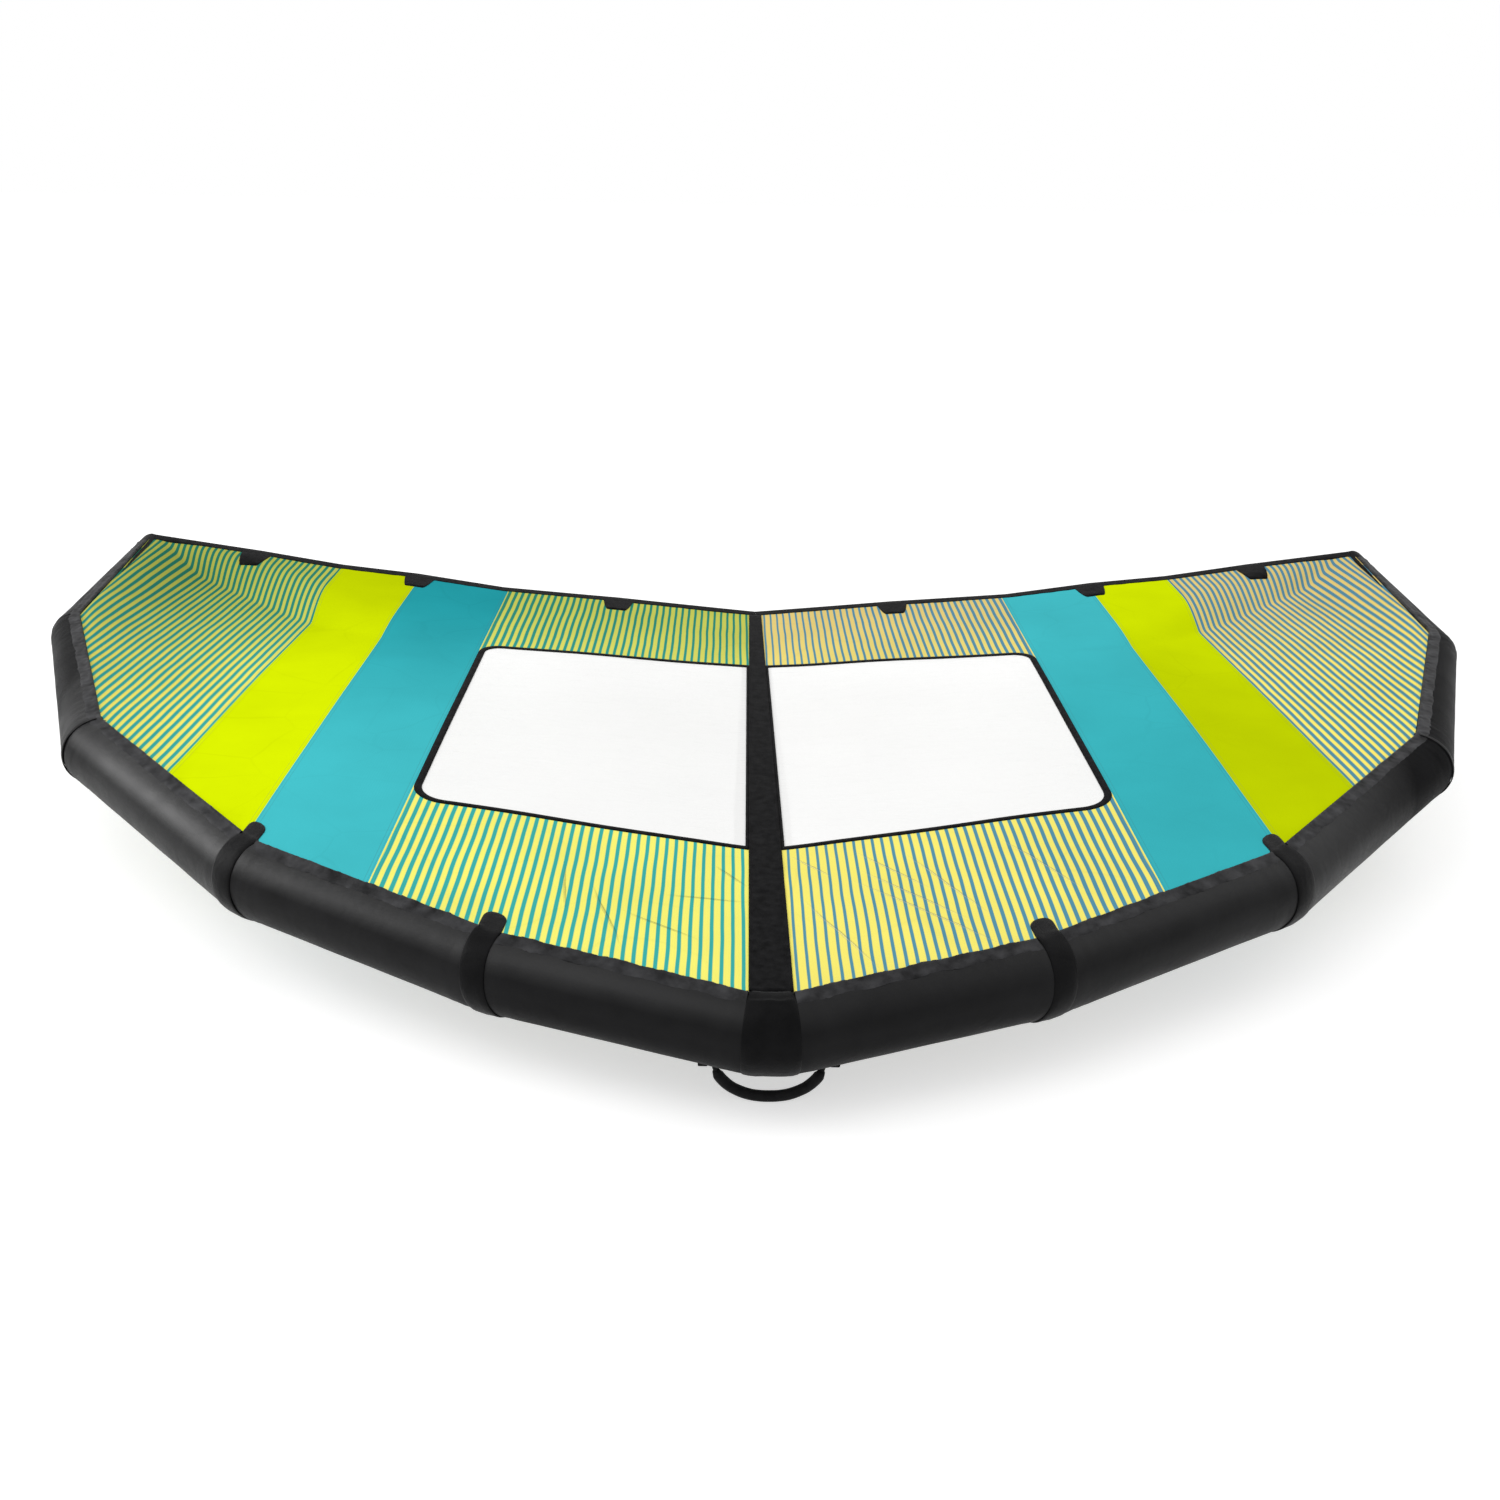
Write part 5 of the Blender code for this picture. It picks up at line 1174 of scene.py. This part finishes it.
BELLY_SHARES = np.array((-1.0, -0.96, -0.86, -0.5, 0.0, 0.5, 0.86, 0.96, 1.0))
turns = 0.5 + BELLY_TURN * BELLY_SHARES
edge = BELLY_EDGE + (BELLY_SHEET - BELLY_EDGE) * (1.0 - np.abs((turns - 0.5) / BELLY_TURN) ** 10)
stops = np.arange(BELLY_FRONT_Y, BELLY_REAR_Y + 0.1 * BELLY_STEP, BELLY_STEP)
rows = [strut_row(y, turns, edge + BELLY_LIFT) for y in stops]
flat = [joined((turns - 0.5) * 2.0 * math.pi * STRUT_RADIUS, y) for y in stops]
belly = sew("belly_webbing", rows, flat, [(0.0, r[0][1], -0.05) for r in rows], webbing)
thicken(belly, BELLY_WEB)
fit(belly, "wing", "webbing", "belly_strip")

handle_lines = []
for n, centre_y in enumerate(STRUT_HANDLE_YS):
    foot_front = strut_row(centre_y - STRUT_HANDLE_HALF, [0.5], BELLY_SHEET)[0]
    foot_rear = strut_row(centre_y + STRUT_HANDLE_HALF, [0.5], BELLY_SHEET)[0]
    line = unit(foot_rear - foot_front)
    down = unit(np.cross((1.0, 0.0, 0.0), line))
    down = down if down[2] < 0.0 else -down
    half = 0.5 * np.linalg.norm(foot_rear - foot_front)
    handle_lines.append((0.5 * (foot_front + foot_rear), line, down, half))
    lug_block("handle_%d_block_front" % (n + 1), foot_front, -line, down)
    lug_block("handle_%d_block_rear" % (n + 1), foot_rear, line, down)

# Rear handles: a braided cord through the two blocks, inside a padded sleeve of black knit cloth. They
# hang under the strut and swing sideways.
HANDLE_FRONT_SHARES = ((-1.0, 0.0), (-0.93, 0.0), (-0.86, 0.30), (-0.76, 0.53), (-0.60, 0.75), (-0.33, 0.94))
HANDLE_SHARES = HANDLE_FRONT_SHARES + ((0.0, 1.0),) + tuple((-u, v) for u, v in HANDLE_FRONT_SHARES[::-1])
HINGE_HEIGHT = 0.0065
ROPE_RADIUS = 0.004
ROPE_SIDES = 12
SLEEVE_SIDES = 22
STRUT_SLEEVE_RADIUS = 0.0130
STRUT_SLEEVE_START = 0.24
CORD_PARTS = 6
pad_cloth = grained("padded_sleeve", 0.7, 0.12, (20, 20, 21), (13, 13, 14), (28, 28, 29), 70.0, (0.001, 0.4),
                    (0.0018, 0.0002, 0.7))
pad_cloth.node_tree.nodes["Principled BSDF"].inputs["Sheen Weight"].default_value = 0.08


def flowing(points, parts):
    """The same points joined by one smooth line."""
    out = []
    points = [np.asarray(p, float) for p in points]
    padded = [2.0 * points[0] - points[1]] + points + [2.0 * points[-1] - points[-2]]
    for a, b, c, d in zip(padded, padded[1:], padded[2:], padded[3:]):
        for n in range(parts):
            t = n / parts
            out.append(0.5 * (2.0 * b + (c - a) * t + (2.0 * a - 5.0 * b + 4.0 * c - d) * t * t
                              + (3.0 * b - a - 3.0 * c + d) * t * t * t))
    out.append(points[-1])
    return np.array(out)


def round_piece(name, line, radius, radius_at, sides, binormal, finish):
    """A round piece along a line that bends in one plane; its ends are drawn in."""
    around = full_turn(sides)[:-1]
    rows = []
    for i, p in enumerate(line):
        tangent = unit(line[min(i + 1, len(line) - 1)] - line[max(i - 1, 0)])
        side_way = unit(np.cross(binormal, tangent))
        reach = radius_at(i / (len(line) - 1.0), around)[:, None]
        rows.append(p + (np.outer(np.cos(around), binormal) + np.outer(np.sin(around), side_way)) * reach)
    rows.insert(0, line[0] + (rows[0] - line[0]) * 0.05)
    rows.append(line[-1] + (rows[-1] - line[-1]) * 0.05)
    before = line[:1] + (line[1] - line[0]) * 0.5
    behind = line[-1:] + (line[-2] - line[-1]) * 0.5
    line = np.vstack((before, line, behind))
    girth = np.arange(sides + 1) / sides * 2.0 * math.pi * radius
    return sew(name, rows, joined(girth[None, :], run_along(line)[:, None]), line, finish, wrap=True)


def hang_handle(name, body, node, middle, along, outward, half, drop, sleeve_radius, sleeve_start):
    """A cord on its two blocks with the padded sleeve round its middle."""
    def rope_size(t, a):
        return ROPE_RADIUS * (0.97 + 0.03 * np.cos(3.0 * a + 140.0 * t))

    def sleeve_size(t, a):
        end = min(t, 1.0 - t)
        taper = 0.62 + 0.38 * float(smooth_step(end / 0.07))
        cuff_roll = 0.05 * math.exp(-((end - 0.02) / 0.012) ** 2)
        return sleeve_radius * (taper + cuff_roll + 0.012 * ripple(t * 38.0, a * 1.0, 13)
                                - 0.035 * np.exp(-((a - 4.7) / 0.16) ** 2))

    binormal = np.cross(along, outward)
    path = flowing([middle + along * half * u + outward * (HINGE_HEIGHT + drop * v)
                    for u, v in HANDLE_SHARES], CORD_PARTS)
    cord = round_piece(name + "_cord", path, ROPE_RADIUS, rope_size, ROPE_SIDES, binormal, webbing)
    fit(cord, body, "webbing", node + "_rope")
    first = int(round(sleeve_start * (len(path) - 1)))
    last = int(round((1.0 - sleeve_start) * (len(path) - 1)))
    sleeve = round_piece(name + "_sleeve", path[first:last + 1], sleeve_radius, sleeve_size, SLEEVE_SIDES,
                         binormal, pad_cloth)
    fit(sleeve, body, "handle_pad", node + "_sleeve")


for n, (middle, line, down, half) in enumerate(handle_lines):
    hang_handle("rear_handle_%d" % (n + 1), ("strut_handle_front", "strut_handle_rear")[n],
                "strut_handle_%d" % (n + 1), middle, line, down, half, STRUT_HANDLE_DROP, STRUT_SLEEVE_RADIUS,
                STRUT_SLEEVE_START)

# Front handle: a padded loop under the middle of the leading edge. Each end of its cord is held in a
# block on a sewn patch of webbing, and the loop swings fore and aft.
LE_HANDLE_HALF = 0.094
LE_HANDLE_DROP = 0.0625
LE_SLEEVE_RADIUS = 0.0090
LE_SLEEVE_START = 0.15
ANCHOR_HALF = 0.024
ANCHOR_TURN = 1.0 / 32.0
ANCHOR_SHEET = 0.0021
ANCHOR_RISE = 0.0018
ANCHOR_LIFT = 0.0010
PATCH_SHEET = 0.0014
PATCH_SPREAD = 0.47
handle_along = kinks[1] + (LE_HANDLE_HALF - axis[0, 0]) / legs[0, 0]
foot = tube_row(handle_along, [0.5], ANCHOR_SHEET)[0]
outward = unit((foot - tube_middle(handle_along)) * (0.0, 1.0, 1.0))
handle_middle = np.array((0.0, foot[1], foot[2]))
up_shares = np.linspace(-1.0, 1.0, 11)
out_shares = np.linspace(-1.0, 1.0, 13)
turns = 0.5 + ANCHOR_TURN * up_shares
for side_name, side in SIDES:
    rows = []
    for share in out_shares:
        rim = ANCHOR_LIFT + ANCHOR_RISE * (1.0 - abs(share) ** 12) * (1.0 - up_shares ** 12)
        rows.append(tube_row(side * (handle_along + share * ANCHOR_HALF), turns, rim))
    patch = sew("front_handle_patch_%s" % side_name, rows,
                [joined((turns - 0.5) * PATCH_SPREAD, share * ANCHOR_HALF) for share in out_shares],
                [tube_middle(side * (handle_along + share * ANCHOR_HALF)) for share in out_shares], webbing)
    thicken(patch, PATCH_SHEET)
    fit(patch, "wing", "webbing", "le_handle_anchor_%s" % side_name)
    way = np.array((side, 0.0, 0.0))
    lug_block("front_handle_block_%s" % side_name, handle_middle + way * LE_HANDLE_HALF, way, outward)
hang_handle("front_handle", "le_handle", "le_handle", handle_middle, np.array((1.0, 0.0, 0.0)), outward,
            LE_HANDLE_HALF, LE_HANDLE_DROP, LE_SLEEVE_RADIUS, LE_SLEEVE_START)

# Leash loop: a strap of webbing bent to a U under the strut's front, its two feet sewn to the belly
# strip.
LEASH_Y = 0.215
LEASH_HALF_WIDTH = 0.0125
LEASH_SHEET = 0.0026
LEASH_LIFT = 0.0014
LEASH_MIDDLE = 0.018
LEASH_FRONT = ((-0.038, 0.0015), (-0.026, 0.0018), (-0.0195, 0.004), (-0.0165, 0.020), (-0.0115, 0.038))
leash_foot = strut_row(LEASH_Y, [0.5], BELLY_SHEET + 0.0003)[0]
leash_path = flowing(LEASH_FRONT + ((0.0, 0.0425),) + tuple((-u, v) for u, v in LEASH_FRONT[::-1]), 4)
run = run_along(leash_path)
x = np.linspace(-LEASH_HALF_WIDTH, LEASH_HALF_WIDTH, 7)
rows = [joined(x, leash_foot[1] + u, leash_foot[2] - v - LEASH_LIFT) for u, v in leash_path]
leash = sew("leash_strap", rows, [joined(x, s) for s in run],
            (0.0, leash_foot[1], leash_foot[2] - LEASH_MIDDLE), webbing)
thicken(leash, LEASH_SHEET)
leash.modifiers["thickness"].offset = 0.0
fit(leash, "wing", "webbing", "leash_loop")

# Valves: one in the leading edge and one in the strut, each a moulded grey-black body with a
# spring-loaded plunger and a cap on a strap. The moulded pieces keep their shapes from the frame.
valve_plastic = grained("valve_plastic", 0.38, 0.5, (38, 38, 40), (32, 32, 34), (46, 46, 48), 240.0,
                        (0.0002, 0.3))
plunger_plastic = grained("plunger_plastic", 0.42, 0.5, (176, 178, 180), (166, 168, 170), (186, 188, 190),
                          200.0, (0.0002, 0.3))
for node_name in ("le_valve_body", "le_valve_cap", "strut_valve_body", "strut_valve_cap", "le_valve_plunger",
                  "strut_valve_plunger"):
    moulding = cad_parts[node_name].data
    moulding.materials.clear()
    moulding.materials.append(plunger_plastic if "plunger" in node_name else valve_plastic)
